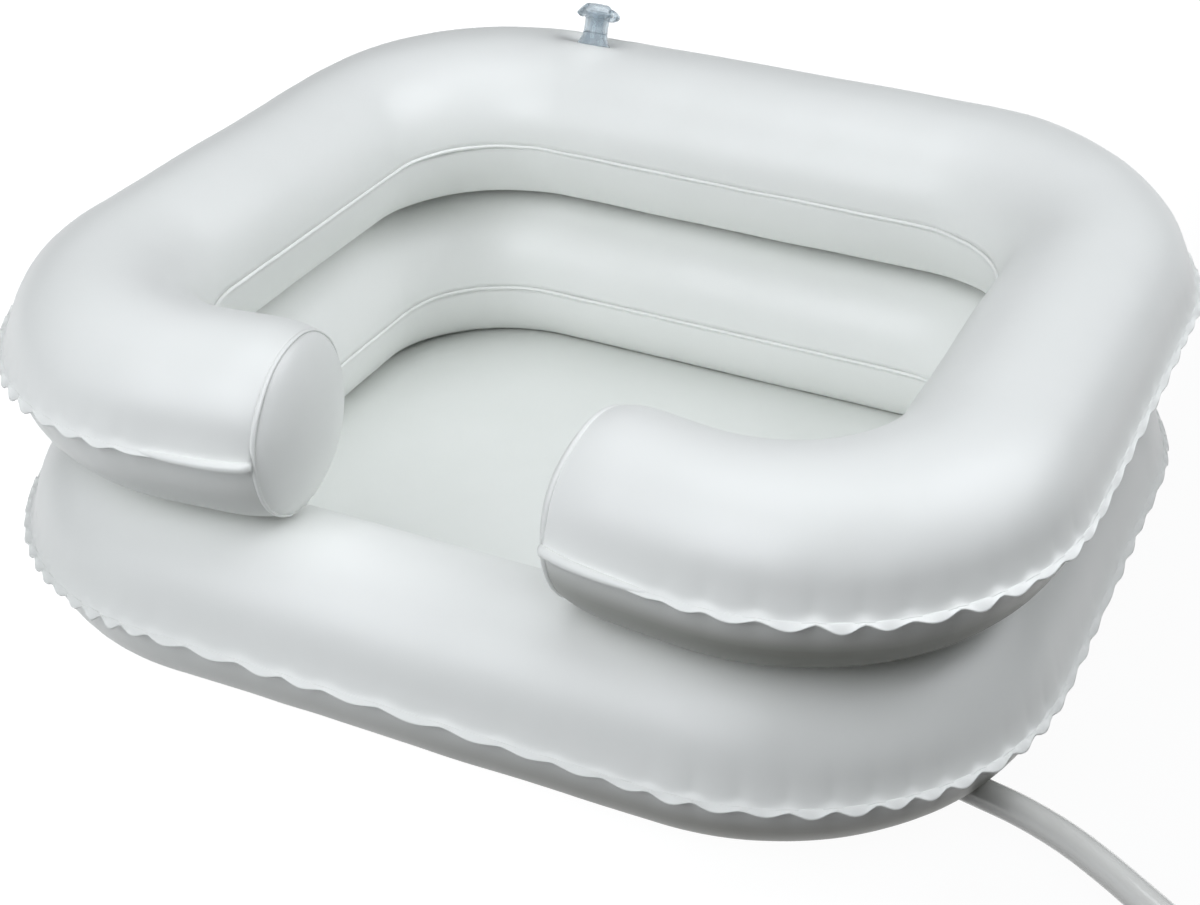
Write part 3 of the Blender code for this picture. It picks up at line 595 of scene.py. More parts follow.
def turned(name, profile, material, place):
    """A closed profile of (radius, height) points turned about Z, then set in its place."""
    bm = bmesh.new()
    verts = [bm.verts.new((radius, 0, height)) for radius, height in profile]
    edges = [bm.edges.new((verts[i - 1], verts[i])) for i in range(len(verts))]
    edges = [edge for edge in edges if edge.verts[0].co.x + edge.verts[1].co.x > MERGE_DISTANCE]
    bmesh.ops.spin(
        bm, geom=verts + edges, cent=(0, 0, 0), axis=(0, 0, 1),
        angle=math.tau, steps=VALVE_SIDES, use_merge=True, use_duplicate=False,
    )
    bmesh.ops.remove_doubles(bm, verts=bm.verts, dist=MERGE_DISTANCE)
    bmesh.ops.delete(bm, geom=[edge for edge in bm.edges if not edge.link_faces], context="EDGES")
    bmesh.ops.recalc_face_normals(bm, faces=bm.faces)
    bmesh.ops.transform(bm, matrix=place, verts=bm.verts)
    obj = object_from(bm, name, material)
    obj.data.shade_smooth()
    obj.data.set_sharp_from_angle(angle=VALVE_SHARP_ANGLE)
    return obj


def make_camera():
    """The photograph's viewpoint, framing and slight roll."""
    azimuth, elevation, roll = CAMERA_AZIMUTH, CAMERA_ELEVATION, CAMERA_ROLL
    back = Vector((
        math.sin(azimuth) * math.cos(elevation), -math.cos(azimuth) * math.cos(elevation), math.sin(elevation)
    ))
    level_right = Vector((0, 0, 1)).cross(back).normalized()
    level_up = back.cross(level_right)
    right = level_right * math.cos(roll) + level_up * math.sin(roll)
    up = level_up * math.cos(roll) - level_right * math.sin(roll)
    data = bpy.data.cameras.new("photo_camera")
    data.lens = LENS_MM
    data.sensor_width = SENSOR_WIDTH_MM
    data.shift_x, data.shift_y = CAMERA_SHIFT
    camera = bpy.data.objects.new("photo_camera", data)
    bpy.context.scene.collection.objects.link(camera)
    place = Matrix((right, up, back)).transposed().to_4x4()
    place.translation = CAMERA_TARGET + back * CAMERA_DISTANCE
    camera.matrix_world = place
    bpy.context.scene.camera = camera


def smooth_route(knots, spacing):
    """Points about one spacing apart on a smooth curve through the knots."""
    points = [knots[0]]
    padded = [knots[0] * 2 - knots[1]] + knots + [knots[-1] * 2 - knots[-2]]
    for index in range(1, len(padded) - 2):
        before, first, second, after = padded[index - 1:index + 3]
        steps = max(1, round((second - first).length / spacing))
        for step in range(1, steps + 1):
            t = step / steps
            points.append(0.5 * (
                first * 2 + (second - before) * t
                + (before * 2 - first * 5 + second * 4 - after) * t * t
                + (first * 3 - before - second * 3 + after) * t * t * t
            ))
    return points


def path_length(points):
    return sum((b - a).length for a, b in zip(points, points[1:]))


def hose_path():
    """The hose's centreline: from the drain's spigot under the ring, over the table, then a flat spiral."""
    outlet = DRAIN + Vector((0, 0, HOSE_Z))
    knots = [outlet + Vector((x, y, 0)) for x, y in HOSE_ROUTE]
    heading = (knots[0] - outlet).normalized()
    start = outlet + heading * (DRAIN_CUP_RADIUS + DRAIN_COLLAR_LENGTH + CLEARANCE)
    run = smooth_route([start] + knots, HOSE_RADIUS)
    heading = (run[-1] - run[-2]).normalized()
    straight = HOSE_RADIUS * 2
    begin = run[-1] + heading * straight
    right = Vector((heading.y, -heading.x, 0))
    centre = begin + right * COIL_RADIUS
    wound = HOSE_LENGTH - path_length(run) - straight * 2
    turns = (COIL_RADIUS - math.sqrt(COIL_RADIUS ** 2 - 2 * COIL_PITCH * wound / math.tau)) / COIL_PITCH
    steps = math.ceil(turns * COIL_STEPS_PER_TURN)
    points = run + [begin]
    for step in range(1, steps + 1):
        turn = turns * step / steps
        spoke = Matrix.Rotation(-math.tau * turn, 4, "Z") @ -right
        points.append(centre + spoke * (COIL_RADIUS - COIL_PITCH * turn))
    points.append(points[-1] + (points[-1] - points[-2]).normalized() * straight)
    return points


def make_hose(path, material):
    """One open-ended tube with its bore, laid along the path."""
    last = len(path) - 1
    loop = 2 * (last + 1)

    def place(column, row):
        inside = last < row < loop
        index = loop - 1 - row if inside else row % loop
        radius = HOSE_BORE_RADIUS if inside else HOSE_RADIUS
        ahead = path[min(index + 1, last)] - path[max(index - 1, 0)]
        sideways = Vector((-ahead.y, ahead.x, 0)).normalized()
        angle = math.tau * (column % HOSE_SIDES) / HOSE_SIDES
        return path[index] + sideways * radius * math.cos(angle) + Vector((0, 0, radius * math.sin(angle)))

    hose = mapped_grid("drain_hose", HOSE_SIDES, loop, place, material)
    hose.data.set_sharp_from_angle(angle=HOSE_SHARP_ANGLE)
    settle(hose, "root", "hose_vinyl", "drain_hose_run", "drain_hose_coil")
    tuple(path[0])


def rectangle_point(half_width, half_depth, radius, leg, share):
    """A point on leg 0 to 8 of a rounded rectangle, from the front's middle: odd legs are its corners."""
    across, along = half_width - radius, half_depth - radius
    centres = (
        Vector((across, -along, 0)), Vector((across, along, 0)), Vector((-across, along, 0)),
        Vector((-across, -along, 0)),
    )
    index = leg // 2
    turn = index - 1 + (share if leg % 2 else 0)
    spoke = Vector((math.cos(turn * math.pi / 2), math.sin(turn * math.pi / 2), 0)) * radius
    if leg % 2:
        return centres[index] + spoke
    middle = Vector((0, -half_depth, 0))
    begin = middle if index == 0 else centres[index - 1] + spoke
    end = middle if index == 4 else centres[index] + spoke
    return begin.lerp(end, share)


class Seams:
    """The welded seams of one ring, at even steps along the outer one. The start is half of its neck gap."""

    def __init__(self, start, mid, seed):
        self.start, self.mid, self.seed = start, mid, seed
        self.lift = UPPER_SEAM_LIFT if start else 0.0
        across, along = HALF_WIDTH - OUTER_CORNER_RADIUS, HALF_DEPTH - OUTER_CORNER_RADIUS
        arc = OUTER_CORNER_RADIUS * math.pi / 2
        self.legs = (across, arc, along * 2, arc, across * 2, arc, along * 2, arc, across)
        self.total = sum(self.legs)
        length = self.total - start * 2
        self.steps = round(length / STATION_STEP)
        self.distances = [start + length * i / self.steps for i in range(self.steps + 1)]
        self.stations = [self.locate(distance) for distance in self.distances]
        self.phases = self.wave_phases()
        self.waves = [self.wave(i) for i in range(self.steps + 1)]
        self.ruffles = [self.ruffle(i) for i in range(self.steps + 1)]

    def locate(self, distance):
        """Outer point, inner point and how far into a corner (0 to 1) at a distance along the outer seam."""
        for leg, length in enumerate(self.legs):
            if distance <= length or leg == len(self.legs) - 1:
                break
            distance -= length
        share = min(1.0, distance / length)
        outer = rectangle_point(HALF_WIDTH, HALF_DEPTH, OUTER_CORNER_RADIUS, leg, share)
        inner = rectangle_point(
            HALF_WIDTH - TUBE_WIDTH, HALF_DEPTH - TUBE_WIDTH, INNER_CORNER_RADIUS, leg, share
        )
        to_end = min(distance, length - distance)
        if leg in (0, 8):
            to_end = length - distance if leg == 0 else distance
        corner = ramp(0.5 + (to_end if leg % 2 else -to_end) / CORNER_BLEND / 2)
        if self.start:
            outer, inner = self.bent_arm(outer, inner, leg in (0, 8))
            outer.y += BACK_SWELL * self.back_share(outer)
        tuck = UPPER_LEFT_TUCK if self.start else LOWER_LEFT_TUCK
        outer.x += tuck * ramp(-outer.x, LEFT_TUCK_START, HALF_WIDTH)
        return outer, inner, corner

    def back_share(self, outer):
        """0 in front and on the sides of the upper ring, 1 along its fuller back."""
        if not self.start:
            return 0.0
        right_corner = ramp(outer.x, BACK_CORNER_START, BACK_CORNER_END)
        return ramp(outer.y, BACK_START, HALF_DEPTH) * (1 - BACK_CORNER_CUT * right_corner)

    def bent_arm(self, outer, inner, straight):
        """The two seams of the upper ring where the air has pulled its arms back, round and in."""
        side = math.copysign(1.0, outer.x)
        bend = 0.0
        if outer.y < 0:
            to_end = (ARM_BEND_START - abs(outer.x)) / (ARM_BEND_START - self.start)
            bend = max(0.0, to_end) ** ARM_BEND_SHARPNESS
        if straight:
            inner_half = HALF_WIDTH - TUBE_WIDTH - INNER_CORNER_RADIUS
            share = (abs(outer.x) - self.start) / (HALF_WIDTH - OUTER_CORNER_RADIUS - self.start)
            inner.x = side * mix(self.start, inner_half, share)
        middle = (outer + inner) / 2
        turn = Matrix.Rotation(-side * ARM_TURN * bend, 3, "Z")
        shift = Vector((0, ARM_SET_BACK, -ARM_LOWERING)) * bend
        outer = middle + turn @ (outer - middle) + shift + Vector((UPPER_SEAM_SHIFT * (1 - bend), 0, 0))
        return outer, middle + turn @ (inner - middle) + shift

    def wave_phases(self):
        """Running phase of the skirt's waves, closer together round the corners and on the left."""
        phases = [0.0]
        for outer, _, corner in self.stations[1:]:
            wave = mix(STRAIGHT_WAVE, CORNER_WAVE, corner)
            wave *= 1 + WAVE_UNEVENNESS * unevenness(outer, WAVE_CHANGES_PER_METRE, self.seed)
            wave *= 1 - LEFT_WAVE_CUT * ramp(-outer.x, LEFT_WAVE_START, LEFT_WAVE_FULL)
            phases.append(phases[-1] + STATION_STEP / wave)
        if self.start == 0:
            stretch = round(phases[-1]) / phases[-1]
            phases = [phase * stretch for phase in phases]
        return phases

    def wave(self, index):
        """-1 to 1 along the skirt: round sags between narrower crests."""
        turn = math.pi * self.phases[index]
        return mix(1 - 2 * abs(math.sin(turn)), math.cos(2 * turn), WAVE_ROUNDNESS)

    def ruffle(self, index):
        """Height of the skirt's trimmed edge above the seam's plane."""
        outer, _, corner = self.stations[index]
        size = mix(STRAIGHT_RUFFLE, CORNER_RUFFLE, corner)
        size *= 1 + RUFFLE_UNEVENNESS * unevenness(outer, RUFFLE_CHANGES_PER_METRE, self.seed + 5)
        return size * self.waves[index] * self.end_fade(index, RUFFLE_END_START, RUFFLE_END_FULL)

    def end_fade(self, index, start, full):
        """0 beside an arm's end weld, rising to 1; always 1 on a ring with no ends."""
        return ramp(self.from_end(index), start, full) if self.start else 1.0

    def from_end(self, index):
        """Distance along the seam to the nearer arm's end weld."""
        return min(self.distances[index] - self.start, self.total - self.start - self.distances[index])

    def taper(self, index):
        """Share of the tube's full section: 0 at an arm's end weld, 1 further on or on a closed ring."""
        if self.start == 0:
            return 1.0
        return 1 - (1 - min(1.0, self.from_end(index) / ARM_TAPER_LENGTH)) ** 3

    def drawn_in(self, index):
        """How much further in than elsewhere the outer seam lies beside an arm's end weld."""
        return (TUBE_WIDTH / 2 - CAP_HALF_WIDTH) * (1 - self.taper(index))

    def joined(self, column):
        """The station of a grid's column, where a closed ring's last one is its first again."""
        return 0 if self.start == 0 and column == self.steps else column


def hose_lift(point, path):
    """Height to which film must rise to lie over the hose, or 0 away from it."""
    if point.x < DRAIN.x or point.y > DRAIN.y / 2:
        return 0.0
    nearest = math.inf
    for a, b in zip(path, path[1:]):
        span = b - a
        along = Vector((point.x - a.x, point.y - a.y, 0)).dot(span) / span.length_squared
        foot = a + span * min(1.0, max(0.0, along))
        nearest = min(nearest, math.hypot(point.x - foot.x, point.y - foot.y))
    top = HOSE_Z + HOSE_RADIUS + FILM * 2
    return top * (1 - ramp(nearest, TENT_HALF_WIDTH, TENT_FOOT))


def section_points(outer, inner, side, taper, seams, pressed):
    """Half of a tube's section from the skirt's weld to the inner seam: points, outward way, arc, offset."""
    centre = (outer + inner) / 2
    reach = (outer - inner) / 2
    reach.z = 0
    away = reach.normalized()
    half = mix(CAP_HALF_WIDTH, reach.length, taper)
    rise = mix(CAP_HALF_HEIGHT, RING_HEIGHT / 2 + pressed, taper)
    back = seams.back_share(outer)
    if side > 0:
        rise += BACK_RISE * back
        fullness, span = BACK_FULLNESS * back, BACK_FULL_SPAN
    else:
        fullness, span = -BACK_SLIMNESS * back, BACK_SLIM_SPAN
    low = WELD_HALF_THICKNESS - FILM / 2
    top = Vector((half * math.cos(FLARE_ANGLE), rise * math.sin(FLARE_ANGLE)))
    knee = Vector((top.x + (top.y - low) * math.tan(FLARE_ANGLE) * half / rise, low))
    weld = Vector((half + FLARE_REACH * mix(FLARE_END_SHARE, 1.0, taper), low))
    result = []
    for i in range(SECTION_STEPS + 1):
        if i < FLARE_STEPS:
            t = i / FLARE_STEPS
            offset = weld * (1 - t) ** 2 + knee * 2 * t * (1 - t) + top * t * t
            above = offset.y
        else:
            angle = mix(FLARE_ANGLE, math.pi, (i - FLARE_STEPS) / (SECTION_STEPS - FLARE_STEPS))
            outward = ramp(math.pi / 2 - angle, 0.0, span)
            outward *= ramp(angle, FLARE_ANGLE, FLARE_ANGLE + BACK_ONSET)
            square = 1 - fullness * outward
            offset = Vector((
                half * signed_power(math.cos(angle), square), rise * signed_power(math.sin(angle), square)
            ))
            above = half * angle
        point = centre + away * offset.x
        outer_share = min(1.0, max(0.0, offset.x / half))
        point.z = seams.mid + centre.z + side * offset.y + seams.lift * outer_share ** SEAM_LIFT_FALLOFF
        result.append((point, away, above, offset))
    return result


def film_half(name, seams, side, material, path=None, valve=None):
    """Top or bottom film of a ring: a half tube that flares into the weld, puckered by the skirt's waves."""
    pressed = RESTING_FLAT if path else 0.0
    ground = seams.mid - RING_HEIGHT / 2
    rows, shades = [], []
    for index, (outer, inner, corner) in enumerate(seams.stations):
        taper = seams.taper(index)
        crest = ((seams.waves[index] + 1) / 2) ** 2
        crest *= seams.end_fade(index, PUCKER_END_START, PUCKER_END_FULL)
        gathered = PUCKER_ALWAYS + crest * (PUCKER_AT_CREST + PUCKER_AT_CORNER_CREST * corner)
        row, shade = [], []
        for point, away, above, offset in section_points(outer, inner, side, taper, seams, pressed):
            seat = point + Vector((0, 0, seams.seed * 3))
            normal = (away * offset.x + Vector((0, 0, side * offset.y))).normalized()
            dent = gathered * math.exp(-above / PUCKER_FADE) * min(1.0, above / PUCKER_START)
            to_seam = math.pi * offset.length - above
            dip = math.exp(-to_seam / SEAM_DIP_FADE) if above > SEAM_DIP_START else 0.0
            swell = unevenness(seat, BROAD_SWELLS_PER_METRE) * BROAD_SWELL
            swell += unevenness(seat, FINE_SWELLS_PER_METRE) * FINE_SWELL
            swell *= min(1.0, above / SWELL_START) * min(1.0, taper * SWELL_TAPER_GAIN)
            point = point + normal * (swell - PUCKER_DEPTH * dent - SEAM_DIP_DEPTH * dip)
            point.z += seams.ruffles[index] * RUFFLE_FILM_SHARE * ramp(1 - above / RUFFLE_FILM_REACH)
            if path:
                point.z = max(point.z, ground, ground + hose_lift(point, path))
            if valve:
                point = flatten_at_valve(point, valve)
            row.append(point)
            # Share of painted shade on the bottom film: its outer half, from a little below the seam's plane
            depth = ramp(offset.y, PAINT_START_DEPTH, PAINT_FULL_DEPTH)
            shade.append(ramp(offset.x, 0.0, PAINT_EDGE) * depth)
        rows.append(row)
        shades.append(shade)
    if seams.start == 0:
        rows[-1] = rows[0]

    def place(column, row):
        return rows[column][row if side > 0 else SECTION_STEPS - row]

    def paint(column, row):
        return shades[column][SECTION_STEPS - row]

    grid = mapped_grid(name, seams.steps, SECTION_STEPS, place, material, paint=paint if side < 0 else None)
    piece = solidify(grid, FILM, -1)
    if valve:
        cut_valve_hole(piece, valve)
    return piece


def skirt(name, seams, material):
    """The ruffled, trimmed edge of doubled film outside the outer seam."""
    def place(column, row):
        index = seams.joined(column)
        outer, inner, _ = seams.stations[index]
        ruffle = seams.ruffles[index]
        fade = seams.end_fade(index, SKIRT_END_START, SKIRT_END_FULL)
        trim = SKIRT_TRIM_ERROR * unevenness(outer, SKIRT_TRIMS_PER_METRE, seams.seed)
        near = mix(SKIRT_END_INNER, SKIRT_INNER, fade)
        far = mix(SKIRT_END_REACH, SKIRT_REACH + trim, fade)
        share = 1 - row / SKIRT_STEPS
        out = mix(near, far, share) - seams.drawn_in(index) - SKIRT_LEAN * ruffle * share
        point = outer + level_way(inner, outer) * out
        point.z = outer.z + seams.mid + seams.lift + ruffle * share ** SKIRT_CURL - SKIRT_DROOP * share * fade
        return point

    grid = mapped_grid(name, seams.steps, SKIRT_STEPS, place, material)
    return solidify(grid, WELD_HALF_THICKNESS * 2, 0)


def skirt_roll(name, seams, from_start, material):
    """Beside an arm's end the skirt is rolled under into a smooth cord, which runs out further along."""
    count = round(SKIRT_ROLL_LENGTH / STATION_STEP)

    def place(column, row):
        index = column if from_start else seams.steps - column
        outer, inner, _ = seams.stations[index]
        share = column / count
        begun = ramp(SKIRT_ROLL_BLUNTNESS + share * SKIRT_ROLL_GROWTH)
        left = math.sqrt(max(0.0, 1 - share ** SKIRT_ROLL_FULLNESS))
        radius = SKIRT_ROLL_RADIUS * begun * left + SKIRT_ROLL_TIP
        angle = math.tau * (row % SKIRT_ROLL_SIDES) / SKIRT_ROLL_SIDES
        out = SKIRT_END_INNER + radius * (SKIRT_ROLL_STANDOFF + SKIRT_ROLL_WIDENING * math.cos(angle))
        out += (SKIRT_REACH - SKIRT_END_REACH) * SKIRT_ROLL_SPREAD * ramp(share) - seams.drawn_in(index)
        point = outer + level_way(inner, outer) * out
        point.z = outer.z + seams.mid + seams.lift - SKIRT_ROLL_DROP + radius * math.sin(angle)
        return point

    return mapped_grid(name, count, SKIRT_ROLL_SIDES, place, material, fill=True)


def bead(name, seams, material):
    """Thin raised weld line along the inner seam, on the bowl's side."""
    sides = 8

    def place(column, row):
        index = seams.joined(column)
        outer, inner, _ = seams.stations[index]
        half = mix(CAP_HALF_WIDTH, (outer - inner).to_2d().length / 2, seams.taper(index))
        wobble = BEAD_WOBBLE * unevenness(outer, BEAD_WOBBLES_PER_METRE, seams.seed)
        angle = math.tau * (row % sides) / sides
        out = half + BEAD_RADIUS * BEAD_WIDENING * math.cos(angle) + BEAD_PROUD
        point = (outer + inner) / 2 + level_way(outer, inner) * out
        point.z += seams.mid + wobble + BEAD_RADIUS * math.sin(angle)
        return point

    return mapped_grid(name, seams.steps, sides, place, material, fill=seams.start > 0)


def arm_section(seams, side, inward, angle, scale, grow=0.0):
    """A point round an arm's end, a distance inward of its weld towards the middle of the neck gap."""
    outer, inner, _ = seams.stations[0 if side > 0 else -1]
    away = level_way(inner, outer)
    heading = Vector((away.y, -away.x, 0)) * side
    lift = seams.lift * max(0.0, -math.cos(angle)) ** SEAM_LIFT_FALLOFF * scale
    point = (outer + inner) / 2 + heading * inward - away * (CAP_HALF_WIDTH * scale + grow) * math.cos(angle)
    point.z += seams.mid + lift + (CAP_HALF_HEIGHT * scale + grow) * math.sin(angle)
    return point


def at_bottom(angle):
    """0 to 1 towards the bottom of an arm's section, where its end film is gathered."""
    return max(0.0, -math.sin(angle)) ** 3


def arm_end_cap(name, seams, side, material):
    """Domed film welded over an arm's end: swollen past its weld, and tucked in puckers at the bottom."""
    steps, rings = 144, 30
    middle = arm_section(seams, side, 0, math.pi / 2, 0)

    def place(column, row):
        share = row / rings
        latitude = math.pi / 2 * share
        angle = -side * math.tau * (column % steps) / steps
        rise = ARM_DOME_RISE * math.sin(latitude) ** ARM_DOME_SOFTNESS
        rim = 1 - ramp(share, 0.0, DOME_RIM_SHARE)
        tuck = at_bottom(angle) * rim * ramp(share, 0.0, DOME_PUCKER_START)
        drift = DOME_PUCKER_DRIFT * math.sin(angle * DOME_PUCKER_DRIFTS)
        rise += DOME_PUCKER_DEPTH * tuck * math.sin(angle * DOME_PUCKERS + drift)
        point = arm_section(seams, side, rise, angle, math.cos(latitude))
        swell = DOME_SWELL_SHARE * unevenness(point, DOME_SWELLS_PER_METRE) * (1 - rim)
        return point + (point - middle) * swell

    return solidify(mapped_grid(name, steps, rings, place, material), FILM, -1)


def arm_cap_bead(name, seams, side, material):
    """Raised weld line that rings an arm at its end cap, gathered at the bottom."""
    steps, sides = 180, 8

    def place(column, row):
        round_arm = math.tau * (column % steps) / steps
        angle = math.tau * (row % sides) / sides
        gather = ARM_WELD_GATHER * at_bottom(round_arm) * math.sin(round_arm * ARM_WELD_GATHERS)
        inward = -ARM_WELD_WANDER * math.sin(round_arm * ARM_WELD_WANDERS) - gather
        inward -= ARM_WELD_HALF_WIDTH * math.cos(angle)
        proud = ARM_WELD_PROUD + ARM_WELD_HEIGHT * math.sin(angle)
        return arm_section(seams, side, inward, round_arm, 1.0, proud)

    return mapped_grid(name, steps, sides, place, material)


def make_rings(film, path):
    """Both rings with their welds, and the upper one's arm ends. Returns the lower ring's seams."""
    lower = Seams(0.0, LOWER_MID, 1.0)
    upper = Seams(ARM_SEAM_X, UPPER_MID, 2.0)
    for label, seams in (("lower", lower), ("upper", upper)):
        for half, side in (("top", 1), ("bottom", -1)):
            route = path if label == "lower" and side < 0 else None
            valve = valve_place(label) if side > 0 else None
            piece = film_half(f"{label}_ring_{half}_film", seams, side, film, route, valve)
            settle(piece, "root", "ring_film", f"{label}_ring_{half}_sheet")
        settle(skirt(f"{label}_ruffled_skirt", seams, film), "root", "ring_film", f"{label}_outer_weld_skirt")
        settle(bead(f"{label}_inner_seam_bead", seams, film), "root", "ring_film", f"{label}_inner_weld_bead")
    for label, side in (("right", 1), ("left", -1)):
        cap = arm_end_cap(f"{label}_arm_dome", upper, side, film)
        settle(cap, "root", "ring_film", f"{label}_arm_end_cap")
        weld = arm_cap_bead(f"{label}_arm_weld_line", upper, side, film)
        settle(weld, "root", "ring_film", f"{label}_arm_cap_weld_bead")
        settle(skirt_roll(f"{label}_arm_skirt_roll", upper, side > 0, film), "root", "ring_film")
    return lower


def make_floor(seams, path, material):
    """The bowl's floor film: nearly flat, tented over the drain's fitting and the hose."""
    hole = DRAIN_CUP_RADIUS + CLEARANCE

    def place(column, row):
        outer, inner, _ = seams.locate(seams.total * (column % FLOOR_SPOKES) / FLOOR_SPOKES)
        rim = inner.lerp(outer, FLOOR_RIM_SHARE)
        spoke = Vector((rim.x - DRAIN.x, rim.y - DRAIN.y, 0))
        share = row / FLOOR_RINGS
        from_drain = mix(hole, spoke.length, share ** FLOOR_CROWDING)
        point = DRAIN + spoke.normalized() * from_drain
        pad = (PAD_TOP - FLOOR_HEIGHT) * (1 - ramp(from_drain, PAD_TOP_RADIUS, PAD_FOOT_RADIUS))
        sag = FLOOR_SAG * unevenness(point, FLOOR_SAGS_PER_METRE)
        sag += FLOOR_RIPPLE * unevenness(point, FLOOR_RIPPLES_PER_METRE)
        sag *= ramp(from_drain, SAG_START_RADIUS, SAG_FULL_RADIUS) * ramp(1 - share, 0.0, SAG_RIM_SHARE)
        point.z = FLOOR_HEIGHT + FILM + pad + sag
        if from_drain < TENT_END_RADIUS:
            point.z = max(point.z, hose_lift(point, path))
        return point

    return solidify(mapped_grid("floor_film", FLOOR_SPOKES, FLOOR_RINGS, place, material), FILM, -1)


def valve_place(prefix):
    """The valve's own frame, from its flange and its push joint: Z outward, the film at height 0."""
    joints = frame["record"]["behaviour"]["joints"]
    axis = Vector(next(joint["axis"] for joint in joints if joint["name"] == prefix + "_valve_push"))
    low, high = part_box(prefix + "_valve_flange")
    place = Matrix.Rotation(-math.atan2(axis.y, axis.z), 4, "X")
    place.translation = (low + high) / 2 + axis * (VALVE_FLANGE_DEPTH - VALVE_FLANGE_RISE) / 2
    return place


def flatten_at_valve(point, valve):
    """Film is drawn flat over the valve's flange."""
    local = valve.inverted() @ point
    radius = math.hypot(local.x, local.y)
    if radius > FLAT_FILM_RADIUS or abs(local.z) > FLAT_FILM_HEIGHT:
        return point
    flatness = 1 - ramp(radius, VALVE_FLANGE_RADIUS, VALVE_FLANGE_RADIUS + FLAT_FILM_SPAN)
    local.z = mix(local.z, VALVE_FLANGE_RISE + FLAT_FILM_RISE, flatness)
    return valve @ local


def cut_valve_hole(film, valve):
    """Round hole through which the valve stands."""
    bm = bmesh.new()
    bmesh.ops.create_cone(
        bm, cap_ends=True, segments=VALVE_SIDES, radius1=VALVE_HOLE_RADIUS, radius2=VALVE_HOLE_RADIUS,
        depth=VALVE_HOLE_RADIUS, matrix=valve,
    )
    cutter = object_from(bm, "valve_hole")
    modifier = film.modifiers.new("Valve hole", "BOOLEAN")
    modifier.operation = "DIFFERENCE"
    modifier.object = cutter
    shape = film.evaluated_get(bpy.context.evaluated_depsgraph_get())
    film.data = bpy.data.meshes.new_from_object(shape)
    film.modifiers.clear()
    bpy.data.objects.remove(cutter)


def valve_band(name, spine, half_width, half_thickness, place, material):
    """A flat band with rounded edges along a spine in the valve's XZ plane, as wide as half_width says."""
    last = len(spine) - 1

    def corner(column, row):
        ahead = spine[min(column + 1, last)] - spine[max(column - 1, 0)]
        outward = Vector((ahead.z, 0, -ahead.x)).normalized()
        angle = math.tau * (row % BAND_SIDES) / BAND_SIDES
        across = half_width(column / last) * signed_power(math.cos(angle), BAND_WIDTH_SQUARENESS)
        up = half_thickness * signed_power(math.sin(angle), BAND_EDGE_SQUARENESS)
        return place @ (spine[column] + Vector((0, across, 0)) + outward * up)

    return mapped_grid(name, last, BAND_SIDES, corner, material, fill=True)


def valve_flange(name, place, clear):
    """Ring welded under the film, with a bore that the bell slides in."""
    bore = VALVE_BARREL_RADIUS + CLEARANCE
    return turned(name, (
        (bore, -VALVE_FLANGE_DEPTH),
        (VALVE_FLANGE_RADIUS - VALVE_FLANGE_CHAMFER, -VALVE_FLANGE_DEPTH),
        (VALVE_FLANGE_RADIUS, VALVE_FLANGE_CHAMFER - VALVE_FLANGE_DEPTH),
        (VALVE_FLANGE_RADIUS, 0.0),
        (bore, 0.0),
    ), clear, place)


def valve_bell(name, place, clear):
    """Hollow bell that runs up into a collared neck, with a lip that stops it under the flange."""
    bell = []
    for step in range(BELL_STEPS + 1):
        share = step / BELL_STEPS
        radius = mix(VALVE_NECK_RADIUS, VALVE_BARREL_RADIUS, (1 - share) ** BELL_FLARE)
        bell.append((radius, mix(BELL_START, VALVE_CONE_HEIGHT, share)))
    lining = [
        (radius - BELL_WALL, height - BELL_WALL_DROP) for radius, height in reversed(bell[:-BELL_LINING_END])
    ]
    low = VALVE_LIP_UNDERSIDE
    collar = VALVE_NECK_RADIUS + COLLAR_RISE
    return turned(name, (
        (VALVE_BARREL_RADIUS - BELL_WALL, low),
        (VALVE_LIP_RADIUS - VALVE_EDGE, low),
        (VALVE_LIP_RADIUS, low + VALVE_EDGE),
        (VALVE_LIP_RADIUS, low + VALVE_LIP_THICKNESS),
        (VALVE_BARREL_RADIUS, low + VALVE_LIP_THICKNESS),
        *bell,
        (VALVE_NECK_RADIUS, COLLAR_BOTTOM),
        (collar, COLLAR_BOTTOM + COLLAR_RISE),
        (collar, COLLAR_TOP - COLLAR_RISE),
        (VALVE_NECK_RADIUS, COLLAR_TOP),
        (VALVE_NECK_RADIUS, VALVE_NECK_HEIGHT - VALVE_EDGE),
        (VALVE_NECK_RADIUS - VALVE_EDGE, VALVE_NECK_HEIGHT),
        (VALVE_BORE_RADIUS, VALVE_NECK_HEIGHT),
        (VALVE_BORE_RADIUS, VALVE_CONE_HEIGHT - BELL_ROOF),
        *lining,
    ), clear, place)


def valve_flap(name, place, clear):
    """Thin disc that closes the bell's bore from below."""
    radius = VALVE_BORE_RADIUS + FLAP_OVERLAP
    top = VALVE_LIP_UNDERSIDE - CLEARANCE
    low = top - FLAP_THICKNESS
    return turned(name, (
        (0, low), (radius - FLAP_EDGE, low), (radius, low + FLAP_EDGE), (radius, top), (0, top),
    ), clear, place)


def valve_plug(name, place, clear):
    """Pin in the neck's bore under a mushroom head, whose rim hangs round the neck."""
    pin = VALVE_BORE_RADIUS - CLEARANCE
    low = PLUG_SEAT - PLUG_PIN_LENGTH
    rim = VALVE_NECK_RADIUS + PLUG_RIM_GAP
    return turned(name, (
        (0, low),
        (pin - PLUG_PIN_TAPER, low),
        (pin, low + PLUG_PIN_LEAD),
        (pin, PLUG_SEAT),
        (rim, PLUG_SEAT),
        (rim + PLUG_RIM_DRAFT, PLUG_SEAT - PLUG_RIM_DEPTH),
        *((PLUG_HEAD_RADIUS - inset, PLUG_SEAT + height) for inset, height in PLUG_HEAD_OUTLINE),
        (0, PLUG_SEAT + PLUG_HEAD_TOP),
    ), clear, place)


